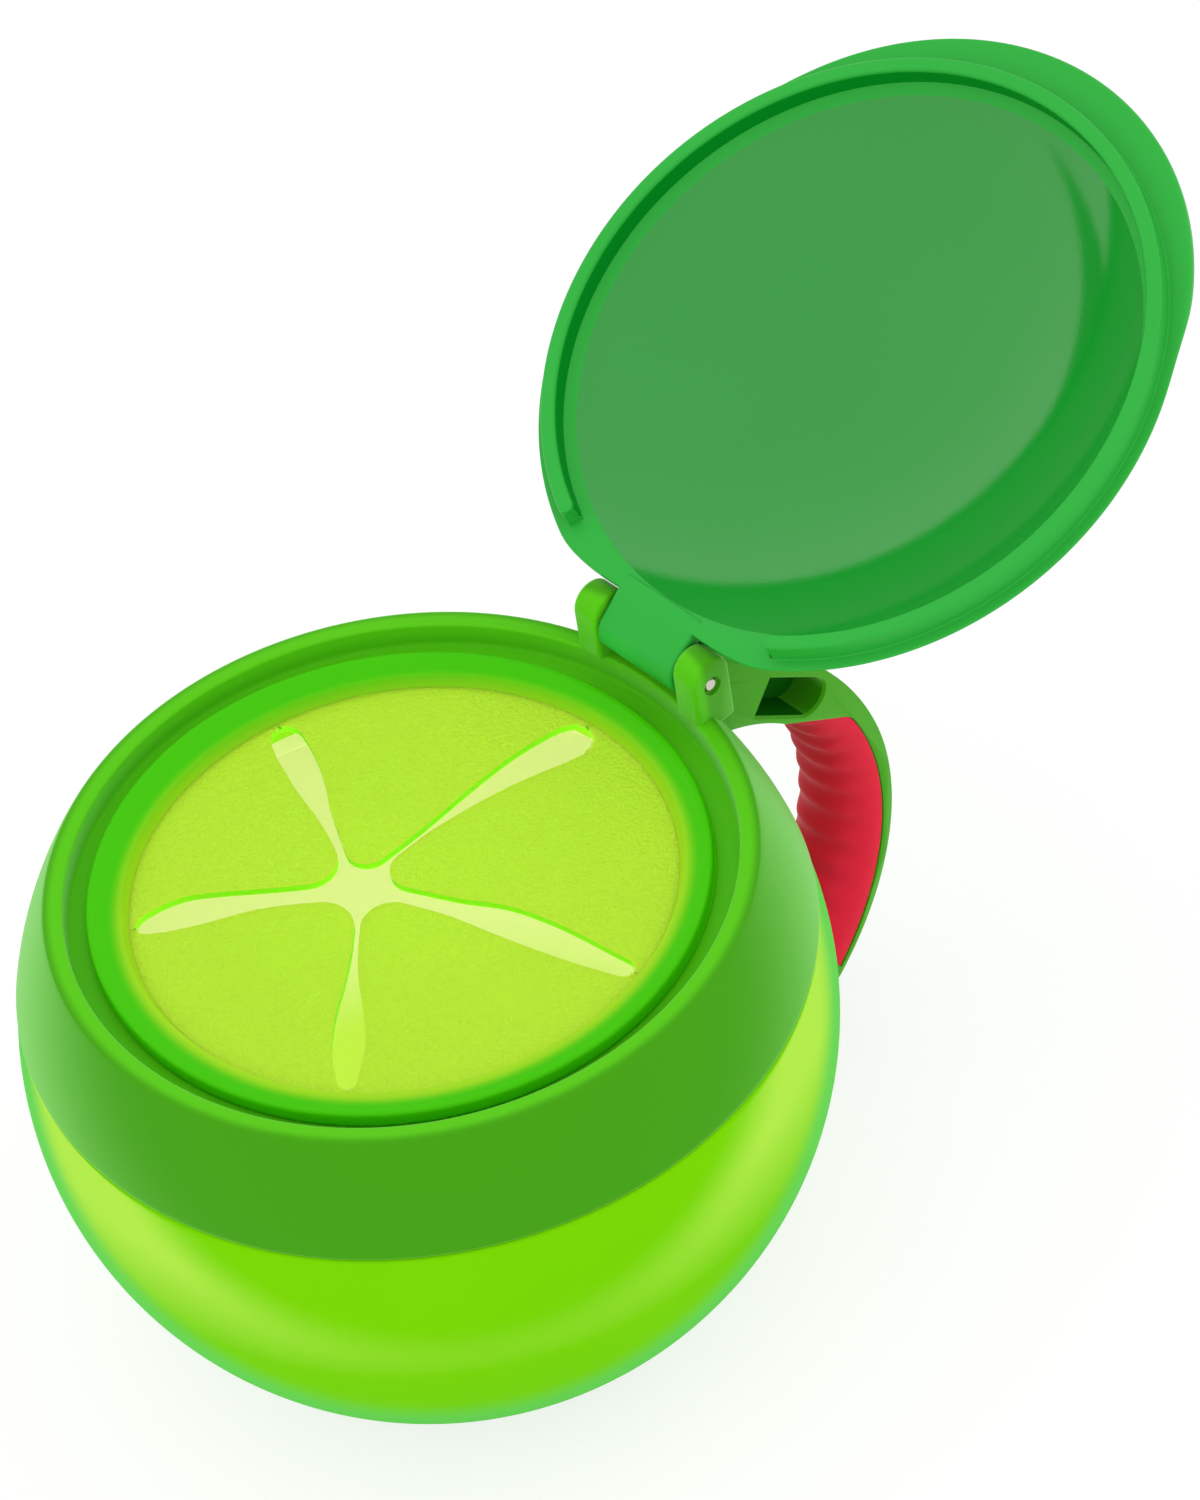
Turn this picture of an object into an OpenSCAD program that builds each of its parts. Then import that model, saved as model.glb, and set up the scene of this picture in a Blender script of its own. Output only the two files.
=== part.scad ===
// Toddler snack container: a ball-shaped bowl, a screw-on collar with a handle,
// a soft insert of five flaps, and a domed lid that turns on a metal pin.
// Millimetres. Z is the bowl's axis, the origin is the middle of its foot,
// and +Y points to the hinge and the handle. The lid is drawn open.

/* [Bowl] */
// Diameter of the ball
bowl_d = 96; // [90:1:106]
// Diameter of the flat foot
base_d = 48; // [40:1:56]
// Height of the shoulder under the collar
bowl_h = 52.5; // [50:0.2:56]
// Wall of the bowl
bowl_wall = 2.2; // [1.4:0.1:3]
// Floor above the foot
floor_t = 3; // [1.6:0.1:5]
// Wall of the threaded neck
neck_wall = 1.8; // [1.2:0.1:2.6]

/* [Collar] */
// Height from the collar's lower edge to its rim
collar_h = 13.7; // [12.4:0.1:16]
// Outer shell of the collar
collar_wall = 1.8; // [1.2:0.1:2.4]
// How far the collar stands proud of the ball
collar_proud = 0.3; // [0:0.1:1]
// Width of the rim's flat top
rim_w = 2.3; // [1.6:0.1:3.2]
// Fillet on the rim's outer edge
rim_fillet = 0.6; // [0.2:0.1:1]
// Depth from the rim to the ledge that holds the insert
ledge_drop = 3.2; // [2.8:0.1:4]
// Thickness of that ledge
ledge_t = 1.8; // [1.2:0.1:2.2]
// Width of the ledge, from the rim's inner wall to the mouth
ledge_w = 6.1; // [4.8:0.1:8]
// Wall of the threaded skirt
skirt_wall = 1.4; // [1:0.1:1.8]
// Radial room for the screw thread between neck and skirt
thread_room = 1.2; // [0.8:0.1:1.6]
// Distance of the skirt's inside from the rim's inner wall
skirt_step = 2.7; // [2.3:0.1:3.2]
// Height of the skirt's lower edge above the collar's
skirt_up = 0.8; // [0.4:0.1:1.4]

/* [Flap insert] */
// Groove between the rim's inner wall and the insert's upstand
groove_w = 2.5; // [2.2:0.1:3]
// Top of the upstand below the rim
upstand_drop = 1; // [0.7:0.1:1.3]
// Width of the sloping band inside the upstand
band_w = 4; // [3:0.1:5]
// Fall across the sloping band
band_fall = 0.75; // [0.4:0.05:1]
// Width of the fillet-like slope at the foot of that band
band_foot = 0.7; // [0.4:0.1:1]
// Thickness of the flange that holds the insert under the ledge
flange_t = 0.8; // [0.6:0.1:1.2]
// Thickness of the flaps
flap_t = 1.2; // [0.8:0.1:1.6]
// Distance from the band's inner edge to the heads of the star's slots
star_inset = 1.2; // [1.1:0.1:3]
// Where the slots meet, left or right of the axis
hub_x = -4; // [-5:0.5:5]
// Where the slots meet, front or back of the axis
hub_y = -3.2; // [-5:0.4:5]
// Outward relief of the upstand on the hinge side, for the bead's swing
bead_relief = 1; // [0.9:0.1:1.3]

/* [Lid] */
// How far the lid's edge lies inside the rim's outer edge
lid_inset = 1.2; // [0.8:0.1:1.6]
// Height of the dome above the lid's edge
dome_h = 16.4; // [12:0.2:22]
// Wall at the top of the dome
lid_wall = 1.8; // [1.2:0.1:2.6]
// Thickness of the sealing bead
bead_w = 1.9; // [1.4:0.1:1.9]
// Height of the sealing bead
bead_h = 2.8; // [2:0.1:3]
// Half of the angle that the bead leaves open at the hinge
bead_half_gap = 26; // [24:1:32]
// Width of the slope inside the bead
floor_step = 1.4; // [1:0.1:2]
// Width of the flat strip along the hinge side
strip_w = 2; // [1.6:0.1:2.6]
// Reach of the thumb lip beyond the lid's edge
lip_out = 3.5; // [2:0.1:5]
// Thickness of the thumb lip
lip_t = 1.5; // [1:0.1:2]
// Angle between the closed lid and the open one
open_angle = 156.4; // [150:0.2:158]

/* [Hinge] */
// Diameter of the metal pin
pin_d = 2; // [1.6:0.1:2.4]
// Height of the pin above the rim
pin_rise = 4.5; // [4.2:0.1:5]
// How far the pin lies inside the rim's outer edge
pin_inset = 0.7; // [0.4:0.1:0.9]
// Diameter of the lid's knuckle
knuckle_d = 6; // [5:0.1:6.4]
// Width of the lid's knuckle
knuckle_w = 12.5; // [8:0.5:16]
// Thickness of each ear
ear_t = 3.75; // [2.5:0.25:5]
// Width of each ear, front to back
ear_w = 5.6; // [5:0.1:6]
// Height of each ear above the pin
ear_top = 4; // [3.4:0.1:4.2]

/* [Handle] */
// Width of the handle
handle_w = 12; // [9:0.5:12.5]
// Room for fingers between the ball and the grip
finger_gap = 14.1; // [11:0.5:20]
// Height of the grip's inner curve above the collar's lower edge
grip_rise = 6.1; // [5:0.1:8]
// Radius of the grip's inner curve
grip_r = 26.8; // [25:0.2:29]
// Thickness of the handle at half height
handle_t = 7; // [6:0.1:9]
// Thickness of the spine behind the grip
spine_t = 1.6; // [1.2:0.1:2.4]
// Radius of the spine's outer curve
spine_r = 36; // [34:0.5:38]
// Radius of the arm's top curve
arm_r = 48; // [44:1:54]
// Rounding of the arm's outer edges
arm_edge = 1.2; // [0.4:0.1:1.6]
// Distance of the open lid's stop behind the pin
stop_out = 3.5; // [3.3:0.1:4]
// Thickness of that stop
stop_t = 3.4; // [2.4:0.1:5]
// Width of the pocket in each side of the arm
pocket_w = 5.1; // [4:0.1:5.6]
// Depth of each pocket
pocket_depth = 4.8; // [2:0.1:5]
// Rounding of the grip's inner edges
grip_edge = 2.5; // [1.5:0.1:3.5]
// Height of the finger ridges
ridge_h = 0.5; // [0.3:0.1:0.8]
// Radius of the finger ridges
ridge_r = 1; // [0.8:0.1:1.4]
// Distance between the finger ridges along the grip
ridge_pitch = 3; // [2.4:0.1:5]

/* [Fits] */
// Gap between parts that are screwed or pushed home
seat_gap = 0.3; // [0.2:0.05:0.4]
// Gap between the closed lid and the rim
lid_gap = 0.5; // [0.4:0.05:0.8]
// Gap beside the bead, the knuckle and the insert
side_gap = 0.3; // [0.2:0.05:0.35]
// Gap between the insert and the top of the ledge
insert_gap = 0.1; // [0.05:0.01:0.15]
// Radial clearance of the pin in the knuckle
pin_play = 0.08; // [0.04:0.01:0.1]
// Radial clearance of the pin in the ears
pin_fit = 0.02; // [0.01:0.01:0.03]
// Gap between pieces that are moulded onto each other
mould_gap = 0.05; // [0.02:0.01:0.08]

/* [Hidden] */
$fn = 96;
cut = 1;

// Ball and neck
ball_r = bowl_d / 2;
ball_z = sqrt(ball_r * ball_r - base_d * base_d / 4);

// Collar
collar_r = ball_r + collar_proud;
collar_z = bowl_h + seat_gap;
rim_z = collar_z + collar_h;
rim_r = sqrt(pow(collar_r, 2) - pow(rim_z - ball_z, 2));
groove_r = rim_r - rim_w;
ledge_z = rim_z - ledge_drop;
mouth_r = groove_r - ledge_w;
skirt_r = groove_r + skirt_step;
neck_r = skirt_r - thread_room;
neck_top = ledge_z - ledge_t - seat_gap;

// Flap insert
upstand_r = groove_r - groove_w;
upstand_z = rim_z - upstand_drop;
band_r = upstand_r - band_w;
band_z = upstand_z - band_fall;
insert_z = ledge_z + insert_gap;
flange_z = ledge_z - ledge_t - 2 * insert_gap;
insert_web = 1.2;
insert_flange = 1.5;
upstand_edge = 0.4;
relief_z = ledge_z + 0.6;

// Star: angle and radius of each slot's head, and how far each side lies to the left
// of the line from the hub to the head, at one third and two thirds of that line
flap_count = 5;
hub = [hub_x, hub_y];
star_r = band_r - star_inset;
slot_turn = [15, 95, 167, 233, 306];
slot_r = [1.4, 2.9, 2.1, 1.5, 1.2];
slot_left = [[2.7, 3.6], [2.1, 2.8], [0.4, 0.9], [0.4, 1], [0.1, 0.2]];
slot_right = [[-0.3, -0.8], [0.9, -0.6], [-0.4, -1.7], [-1, -3.3], [-0.8, -1.6]];
tip_r = [3.1, 2.4, 4.4, 4.7, 4.3];
tip_from = 0.25;
tip_to = 0.4;
flap_edge = 0.35;
hinge_room = 0.8;

// Hinge and lid
pin_y = rim_r - pin_inset;
pin_z = rim_z + pin_rise;
lid_z = rim_z + lid_gap;
lid_r = rim_r - lid_inset;
bead_r = groove_r - side_gap;
dome_r = (lid_r * lid_r + dome_h * dome_h) / (2 * dome_h);
dome_z = lid_z + dome_h - dome_r;
floor_r = bead_r - bead_w - floor_step;
floor_rise = 0.7;
hollow_h = dome_h - lid_wall - floor_rise;
hollow_r = (floor_r * floor_r + hollow_h * hollow_h) / (2 * hollow_h);
hollow_z = lid_z + dome_h - lid_wall - hollow_r;
lid_back = pin_y - ear_w / 2 - side_gap;
lip_shift = 6;
sink = 0.3;
ear_x = knuckle_w / 2 + side_gap;
pin_l = 2 * (ear_x + ear_t);

// Handle, in the plane of Y and Z
grip_c = [ball_r + finger_gap - grip_r, collar_z + grip_rise - grip_r];
spine_c = [grip_c[0] + grip_r + handle_t - spine_r, grip_c[1] - 1];
arm_lean = [24, 7] / 25;
arm_turn = atan2(arm_lean[1], arm_lean[0]);
arm_c = spine_c - (arm_r - spine_r) * arm_lean;
pad_r = spine_r - spine_t;
pad_c = spine_c - [0, 1.2];
arm_end = -52;
grip_end = -47;
pad_slope = -33;
pad_top_turn = 33.4;
pad_top_r = grip_r + 1.9;
pad_reach = pad_top_r * cos(90 + pad_slope - pad_top_turn);
ridge_mid = grip_r + ridge_r - ridge_h;
ridge_last = 90 + pad_slope - acos((pad_reach - ridge_r - mould_gap) / ridge_mid);
ridge_step = ridge_pitch / grip_r * 180 / PI;
pocket_turn = 58.4;
pocket_tilt = -37.4;
pocket_l = 8.6;
pocket_wall = 1;
pocket_at = grip_c + (grip_r + pocket_w / 2 + pocket_wall) * [cos(pocket_turn), sin(pocket_turn)];
tongue_w = 5;
tongue_h = 2.6;

// Point at a radius and an angle
function polar(r, a) = [r * cos(a), r * sin(a)];
// Unit vector from one point to another
function toward(p, q) = (q - p) / norm(q - p);
// A vector turned a quarter to the left
function left(v) = [-v[1], v[0]];
// Where the line through p1 and p2 meets the one through q1 and q2
function meet(p1, p2, q1, q2) =
    let (u = p2 - p1, v = q2 - q1, w = q1 - p1)
    p1 + u * ((w[0] * v[1] - w[1] * v[0]) / (u[0] * v[1] - u[1] * v[0]));
// Points of an arc about c, from the direction of u to that of v
function arc(c, r, u, v, steps) =
    let (a = atan2(u[1], u[0]), turn = atan2(u[0] * v[1] - u[1] * v[0], u * v))
    [for (i = [0 : steps]) c + polar(r, a + turn * i / steps)];
// An arc of radius r that rounds the corner b between a and c
function corner(a, b, c, r) =
    let (u = toward(b, a), v = toward(b, c), half = acos(u * v) / 2,
         mid = b + toward([0, 0], u + v) * r / sin(half), run = r / tan(half))
    arc(mid, r, b + u * run - mid, b + v * run - mid, 8);
// The point at which a ray from p, at an angle, leaves a circle that holds p
function leave(p, angle, c, r) =
    let (u = polar(1, angle), w = p - c, b = u * w)
    p + u * (sqrt(b * b - w * w + r * r) - b);
// The point where a line from p touches a circle, on its left or right side
function touch(p, c, r, side) =
    let (d = norm(c - p), a = atan2(c[1] - p[1], c[0] - p[0]) + side * asin(r / d))
    p + polar(sqrt(d * d - r * r), a);
// A point of the closed lid, in the plane of Y and Z, after it has been opened
function opened(p) =
    let (c = cos(open_angle), s = sin(open_angle), v = p - [pin_y, pin_z])
    [pin_y + v[0] * c + v[1] * s, pin_z - v[0] * s + v[1] * c];

// The slot that follows slot i, counterclockwise
function next(i) = (i + 1) % flap_count;
// Middle of the head of slot i
function slot_head(i) = polar(star_r - slot_r[i], slot_turn[i]);
// Point of a side of slot i, left (1) or right (-1), at t from the hub to the head
function slot_side(i, side, t) =
    let (run = slot_head(i) - hub,
         out = side > 0 ? slot_left[i] : slot_right[i],
         third = 4.5 * (t - 2 / 3) * (t - 1) * out[0],
         two_thirds = -9 * (t - 1 / 3) * (t - 1) * out[1],
         end = 4.5 * (t - 1 / 3) * (t - 2 / 3) * side * slot_r[i])
    hub + run * t + left(toward([0, 0], run)) * (third + two_thirds + end);
// Outline of the last fifth of slot i, with its round head
function slot_end(i) =
    let (head = slot_head(i), run = toward(hub, head), right = -left(run))
    concat([slot_side(i, -1, 0.8), slot_side(i, -1, 0.9)], arc(head, slot_r[i], right, run, 6),
           [for (k = [1 : 6]) head + polar(slot_r[i], atan2(run[1], run[0]) + 15 * k)],
           [slot_side(i, 1, 0.9), slot_side(i, 1, 0.8)]);
// The line on which flap i bends, moved outwards
function bend_line(i, out) =
    let (a = slot_head(i), b = slot_head(next(i)), move = -left(toward(a, b)) * out)
    [a + move, b + move];

// Revolves a section drawn with its radius along X and its height along Y
module revolve(angle = 360, start = 0) {
    rotate([0, 0, start]) rotate_extrude(angle = angle) children();
}

// Extrudes a section of the plane of Y and Z to a width about X = 0
module across(width) {
    rotate([90, 0, 90]) translate([0, 0, -width / 2]) linear_extrude(height = width) children();
}

// A pin-shaped solid along X
module axle(r, length) {
    translate([-length / 2, pin_y, pin_z]) rotate([0, 90, 0]) cylinder(r = r, h = length);
}

// Section between two heights, from the axis outwards
module band(z0, z1, r0, r1) {
    translate([r0, z0]) square([r1 - r0, z1 - z0]);
}

// Section of a ball of radius r about the bowl's centre, between two heights
module ball_slice(r, z0, z1) {
    intersection() {
        translate([0, ball_z]) circle(r);
        band(z0, z1, 0, r + cut);
    }
}

// The bowl: ball, flat foot, shoulder and neck
module bowl() {
    color("yellowgreen", 0.7)
    revolve() {
        difference() {
            ball_slice(ball_r, 0, bowl_h);
            ball_slice(ball_r - bowl_wall, floor_t, bowl_h - bowl_wall);
            band(bowl_h - bowl_wall - cut, bowl_h + cut, 0, neck_r - neck_wall);
        }
        band(bowl_h - bowl_wall, neck_top, neck_r - neck_wall, neck_r);
    }
}

// Section of the collar's solid outside, with its filleted rim
module collar_outside() {
    fillet_z = rim_z - rim_fillet;
    fillet_r = sqrt(pow(collar_r - rim_fillet, 2) - pow(fillet_z - ball_z, 2));
    blend_z = ball_z + (fillet_z - ball_z) * collar_r / (collar_r - rim_fillet);
    ball_slice(collar_r, collar_z, blend_z);
    translate([fillet_r, fillet_z]) circle(rim_fillet);
    band(collar_z, rim_z, 0, fillet_r);
}

// One ear: a round-topped cheek that grows out of the rim
module ear() {
    round_r = ear_w / 2;
    difference() {
        union() {
            translate([pin_y, pin_z + ear_top - round_r]) circle(round_r);
            translate([pin_y - round_r, ledge_z]) square([ear_w, pin_z + ear_top - round_r - ledge_z]);
        }
        translate([pin_y, pin_z]) circle(pin_d / 2 + pin_fit);
    }
}

// The collar: shell, rim, ledge, threaded skirt and the two hinge ears
module collar() {
    color("forestgreen") {
        revolve() {
            difference() {
                collar_outside();
                ball_slice(collar_r - collar_wall, collar_z - cut, ledge_z - ledge_t);
                band(ledge_z, rim_z + cut, 0, groove_r);
                band(collar_z, rim_z, 0, mouth_r);
            }
            band(collar_z + skirt_up, ledge_z - ledge_t / 2, skirt_r, skirt_r + skirt_wall);
        }
        difference() {
            for (side = [-1, 1])
                translate([side * (ear_x + ear_t / 2), 0, 0]) across(ear_t) ear();
            translate([0, 0, ledge_z - cut]) cylinder(r = groove_r, h = ledge_drop + cut);
        }
    }
}

// The metal pin, pressed into both ears
module hinge_pin() {
    color("silver") axle(pin_d / 2, pin_l);
}

// A part of the arm, cut from a disc about c with rounded outer edges
module arm_part(c, r) {
    half = handle_w / 2;
    intersection() {
        across(handle_w) children();
        translate([0, c[0], c[1]]) rotate([0, 90, 0]) revolve() {
            band(-half, half, 0, r - arm_edge);
            band(arm_edge - half, half - arm_edge, 0, r);
            for (side = [-1, 1])
                translate([r - arm_edge, side * (half - arm_edge)]) circle(arm_edge, $fn = 48);
        }
    }
}

// The C-shaped arm, before the ball, the grip and the knuckle are cut away
module arm() {
    tip_in = grip_c + polar(grip_r, arm_end);
    tip_out = leave(grip_c, arm_end, spine_c, spine_r);
    arm_part(spine_c, spine_r) difference() {
        union() {
            intersection() {
                translate(spine_c) circle(spine_r);
                translate(spine_c) rotate(arm_turn) translate([0, -2 * arm_r]) square(2 * arm_r);
                arm_side();
            }
            translate((tip_in + tip_out) / 2) circle(norm(tip_out - tip_in) / 2);
        }
        translate(grip_c) circle(grip_r);
    }
    arm_part(arm_c, arm_r) difference() {
        intersection() {
            translate(arm_c) circle(arm_r);
            translate(spine_c) rotate(arm_turn) square([2 * arm_r, 2 * arm_r]);
            translate([pin_y, 0]) square([arm_r, pin_z]);
            arm_side();
        }
        translate(grip_c) circle(grip_r);
    }
}

// The side of the section on which the arm lies, from its end up to the pin
module arm_side() {
    polygon([grip_c, grip_c + polar(3 * arm_r, arm_end), [3 * arm_r, 0],
             [3 * arm_r, 3 * arm_r], [pin_y, 3 * arm_r], [pin_y, collar_z]]);
}

// Point of the pad's upper end, on a slanting line across the arm
function pad_end(along, gap) =
    grip_c + polar(pad_top_r, pad_top_turn) + polar(along, pad_slope) - polar(gap, pad_slope + 90);

// Section of the soft pad on the inside of the arm
module pad_section(gap = 0) {
    intersection() {
        translate(pad_c) circle(pad_r - gap);
        polygon([grip_c + polar(gap, grip_end + 90),
                 grip_c + polar(3 * arm_r, grip_end) + polar(gap, grip_end + 90),
                 pad_end(arm_r, gap), pad_end(-grip_r / 2, gap)]);
    }
}

// The pocket in the side of the arm: square at one end, round at the other
module pocket_section() {
    translate(pocket_at) rotate(pocket_tilt) {
        translate([0, -pocket_w / 2]) square([pocket_l, pocket_w]);
        translate([pocket_l, 0]) circle(pocket_w / 2);
    }
}

// The open lid's dome, as a ball with some room round it
module open_dome(room) {
    c = opened([0, dome_z]);
    translate([0, c[0], c[1]]) sphere(r = dome_r + room, $fn = 180);
}

// The handle arm: spine, tongue under the pad, pocketed root and lid stop
module handle() {
    color("mediumseagreen") difference() {
        union() {
            difference() {
                arm();
                across(handle_w + cut) pad_section();
            }
            intersection() {
                arm();
                across(tongue_w) intersection() {
                    pad_section();
                    difference() {
                        translate(pad_c) circle(pad_r + cut);
                        translate(pad_c) circle(pad_r - tongue_h);
                    }
                }
            }
            across(handle_w)
                translate([pin_y + stop_out, rim_z]) square([stop_t, pin_rise + ear_top]);
        }
        for (side = [-1, 1])
            translate([side * handle_w / 2, 0, 0]) across(2 * pocket_depth) pocket_section();
        translate([0, 0, ball_z]) sphere(r = collar_r + mould_gap, $fn = 180);
        axle(knuckle_d / 2 + side_gap, handle_w + cut);
        open_dome(seat_gap);
    }
}

// The soft grip: a pad with rounded inner edges and ridges for the fingers
module handle_grip() {
    half = handle_w / 2;
    color("crimson") difference() {
        union() {
            intersection() {
                across(handle_w) difference() {
                    pad_section(mould_gap);
                    translate(grip_c) circle(grip_r);
                }
                translate([0, grip_c[0], grip_c[1]]) rotate([0, 90, 0]) revolve() {
                    band(grip_edge - half, half - grip_edge, grip_r, 2 * grip_r);
                    band(-half, half, grip_r + grip_edge, 2 * grip_r);
                    for (side = [-1, 1])
                        translate([grip_r + grip_edge, side * (half - grip_edge)]) circle(grip_edge);
                }
            }
            for (a = [grip_end + ridge_step : ridge_step : ridge_last])
                translate([0, grip_c[0], grip_c[1]] + concat(0, polar(ridge_mid, a)))
                    rotate([0, 90, 0])
                    cylinder(r = ridge_r, h = handle_w - 2 * grip_edge, center = true, $fn = 24);
        }
        across(tongue_w + 2 * mould_gap) difference() {
            translate(pad_c) circle(pad_r + cut);
            translate(pad_c) circle(pad_r - tongue_h - mould_gap);
        }
    }
}

// Section of the closed lid: dome, hollow and edge
module lid_section() {
    difference() {
        intersection() {
            translate([0, dome_z]) circle(dome_r, $fn = 180);
            band(lid_z, lid_z + dome_h + cut, 0, lid_r + cut);
        }
        lid_hollow();
    }
}

// Section of the hollow under the dome
module lid_hollow() {
    intersection() {
        translate([0, hollow_z]) circle(hollow_r, $fn = 180);
        band(lid_z, lid_z + dome_h, 0, floor_r + cut);
    }
    polygon([[0, lid_z - cut], [floor_r + floor_step, lid_z - cut], [floor_r + floor_step, lid_z],
             [floor_r, lid_z + floor_rise], [0, lid_z + floor_rise]]);
}

// Section of the tab that joins the lid to its knuckle, tangent to both
module tab_section() {
    knuckle = [pin_y, pin_z];
    r = knuckle_d / 2;
    low = [lid_back, lid_z];
    high = [lid_back, dome_z + sqrt(dome_r * dome_r - lid_back * lid_back)];
    translate(knuckle) circle(r);
    polygon([low - [strip_w, 0], low, touch(low, knuckle, r, -1), knuckle,
             touch(high, knuckle, r, 1), high, high - [strip_w, 0]]);
}

// The thumb lip: a crescent in front of the lid's edge
module lip() {
    lip_r = lid_r + lip_out - lip_shift;
    translate([0, 0, lid_z]) linear_extrude(height = lip_t) difference() {
        translate([0, -lip_shift]) circle(lip_r);
        circle(bead_r);
    }
}

// The lid as it lies when it is closed
module closed_lid() {
    difference() {
        union() {
            intersection() {
                union() {
                    revolve() lid_section();
                    lip();
                }
                translate([-lid_r, lid_back - 3 * lid_r, lid_z])
                    cube([2 * lid_r, 3 * lid_r, dome_h + cut]);
            }
            across(knuckle_w) tab_section();
            translate([0, 0, lid_z - bead_h]) bead();
        }
        for (side = [-1, 1])
            translate([side * (ear_x + ear_t / 2), 0, 0])
                axle(ear_top + side_gap, ear_t + 2 * side_gap);
        axle(pin_d / 2 + pin_play, knuckle_w + cut);
    }
}

// The sealing bead under the lid, open at the hinge
module bead() {
    revolve(360 - 2 * bead_half_gap, 90 + bead_half_gap)
        band(0, bead_h + sink, bead_r - bead_w, bead_r);
}

// The lid, opened about its pin
module lid() {
    color("mediumseagreen")
    translate([0, pin_y, pin_z]) rotate([-open_angle, 0, 0]) translate([0, -pin_y, -pin_z])
        closed_lid();
}

// Section of the insert: upstand, sloping band, web through the mouth, and flange
module insert_section() {
    web_r = mouth_r - side_gap;
    polygon([[0, insert_z - flap_t], [web_r - insert_web, insert_z - flap_t],
             [web_r - insert_web, flange_z - flange_t], [web_r + insert_flange, flange_z - flange_t],
             [web_r + insert_flange, flange_z], [web_r, flange_z],
             [web_r, insert_z], [upstand_r, insert_z], [upstand_r, upstand_z - upstand_edge],
             [upstand_r - upstand_edge, upstand_z], [upstand_r - 2 * upstand_edge, upstand_z],
             [band_r, band_z], [band_r - band_foot, insert_z], [0, insert_z]]);
}

// The insert's ring: inside it the flaps bend, and the heads of the slots are rounded
module flap_ring() {
    color("chartreuse", 0.8) intersection() {
        difference() {
            revolve() insert_section();
            translate([0, 0, insert_z - 2 * flap_t]) linear_extrude(height = 3 * flap_t) {
                polygon([for (i = [0 : flap_count - 1])
                    let (p = bend_line(i, hinge_room), q = bend_line(next(i), hinge_room))
                    meet(p[0], p[1], q[0], q[1])]);
                for (i = [0 : flap_count - 1])
                    polygon(slot_end(i));
            }
        }
        union() {
            translate([0, -bead_relief, ledge_z - cut]) cylinder(r = upstand_r, h = ledge_drop + cut);
            cylinder(r = upstand_r + cut, h = relief_z);
        }
    }
}

// The outline of flap i beside slot k, from its root towards the hub
function flap_side(i, k, side) =
    let (line = bend_line(i, 0), edge = bend_line(i, flap_edge),
         root = meet(slot_side(k, side, 0.9), slot_side(k, side, 1), line[0], line[1]))
    concat([root + edge[0] - line[0], root],
           [for (t = [0.9 : -0.1 : tip_to]) slot_side(k, side, t)]);

// Flap i, between slot i and the next, with a rounded tip at the hub
module flap(i) {
    j = next(i);
    a = flap_side(i, i, 1);
    b = flap_side(i, j, -1);
    tip = meet(slot_side(i, 1, tip_to), slot_side(i, 1, tip_from),
               slot_side(j, -1, tip_to), slot_side(j, -1, tip_from));
    color("chartreuse", 0.8)
    translate([0, 0, insert_z - flap_t]) linear_extrude(height = flap_t)
        polygon(concat(a, corner(slot_side(i, 1, tip_to), tip, slot_side(j, -1, tip_to), tip_r[i]),
                       [for (k = [len(b) - 1 : -1 : 0]) b[k]]));
}

module flap_1() { flap(0); }
module flap_2() { flap(1); }
module flap_3() { flap(2); }
module flap_4() { flap(3); }
module flap_5() { flap(4); }

bowl();
collar();
handle();
handle_grip();
hinge_pin();
lid();
flap_ring();
flap_1();
flap_2();
flap_3();
flap_4();
flap_5();
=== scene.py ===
"""Looks of a ball-shaped snack container for toddlers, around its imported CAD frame.

The container has a translucent bowl, a screw-on collar with a soft-grip handle, an insert
of five soft flaps, and a domed lid that stands open on a metal pin. Sizes are millimetres
with the names that the part's source gives them, and turn into metres when a mesh becomes
an object. Z is the bowl's axis, and +Y points to the hinge and the handle.
"""

import logging
import math
from collections.abc import Callable, Mapping, Sequence
from dataclasses import dataclass, field
from enum import Enum
from typing import ClassVar

import bmesh
import bpy
from mathutils import Matrix, Vector


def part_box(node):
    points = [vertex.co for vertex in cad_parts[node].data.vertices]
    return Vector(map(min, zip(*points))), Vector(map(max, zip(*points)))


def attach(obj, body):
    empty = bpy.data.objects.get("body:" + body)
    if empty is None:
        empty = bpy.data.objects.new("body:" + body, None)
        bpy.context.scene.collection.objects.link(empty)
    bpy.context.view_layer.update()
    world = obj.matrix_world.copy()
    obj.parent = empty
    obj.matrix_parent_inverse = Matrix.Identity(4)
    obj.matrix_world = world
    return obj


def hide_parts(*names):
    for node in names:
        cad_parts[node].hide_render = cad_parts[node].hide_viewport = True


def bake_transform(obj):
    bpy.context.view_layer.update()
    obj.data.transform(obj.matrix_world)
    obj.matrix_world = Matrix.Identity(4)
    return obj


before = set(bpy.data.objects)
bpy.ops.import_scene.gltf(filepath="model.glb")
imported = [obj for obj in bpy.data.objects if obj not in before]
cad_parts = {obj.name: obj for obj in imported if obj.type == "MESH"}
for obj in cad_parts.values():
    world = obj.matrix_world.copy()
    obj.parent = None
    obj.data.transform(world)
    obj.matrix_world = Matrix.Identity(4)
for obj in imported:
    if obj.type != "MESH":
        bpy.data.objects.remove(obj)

MM = 0.001
# Edges sharper than this angle, in degrees, stay sharp in the shading.
SMOOTH_ANGLE = 38.0
# Edges sharper than this angle are the ones that a bevel rounds.
BEVEL_ANGLE = 60.0
# Vertices closer than this, in millimetres, become one.
MERGE = 0.0002
# Half angles of a corner, in degrees, between which it is rounded.
SHARPEST, FLATTEST = 2.0, 89.0
# Share of a side that a rounding may use.
MOST_OF_SIDE = 0.49
# Gap beside the bead, the knuckle, the ears and the open dome, in millimetres.
SIDE_GAP = 0.3
# Values that a noise texture takes.
NOISE_RANGE = (0.1, 0.9)
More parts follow.
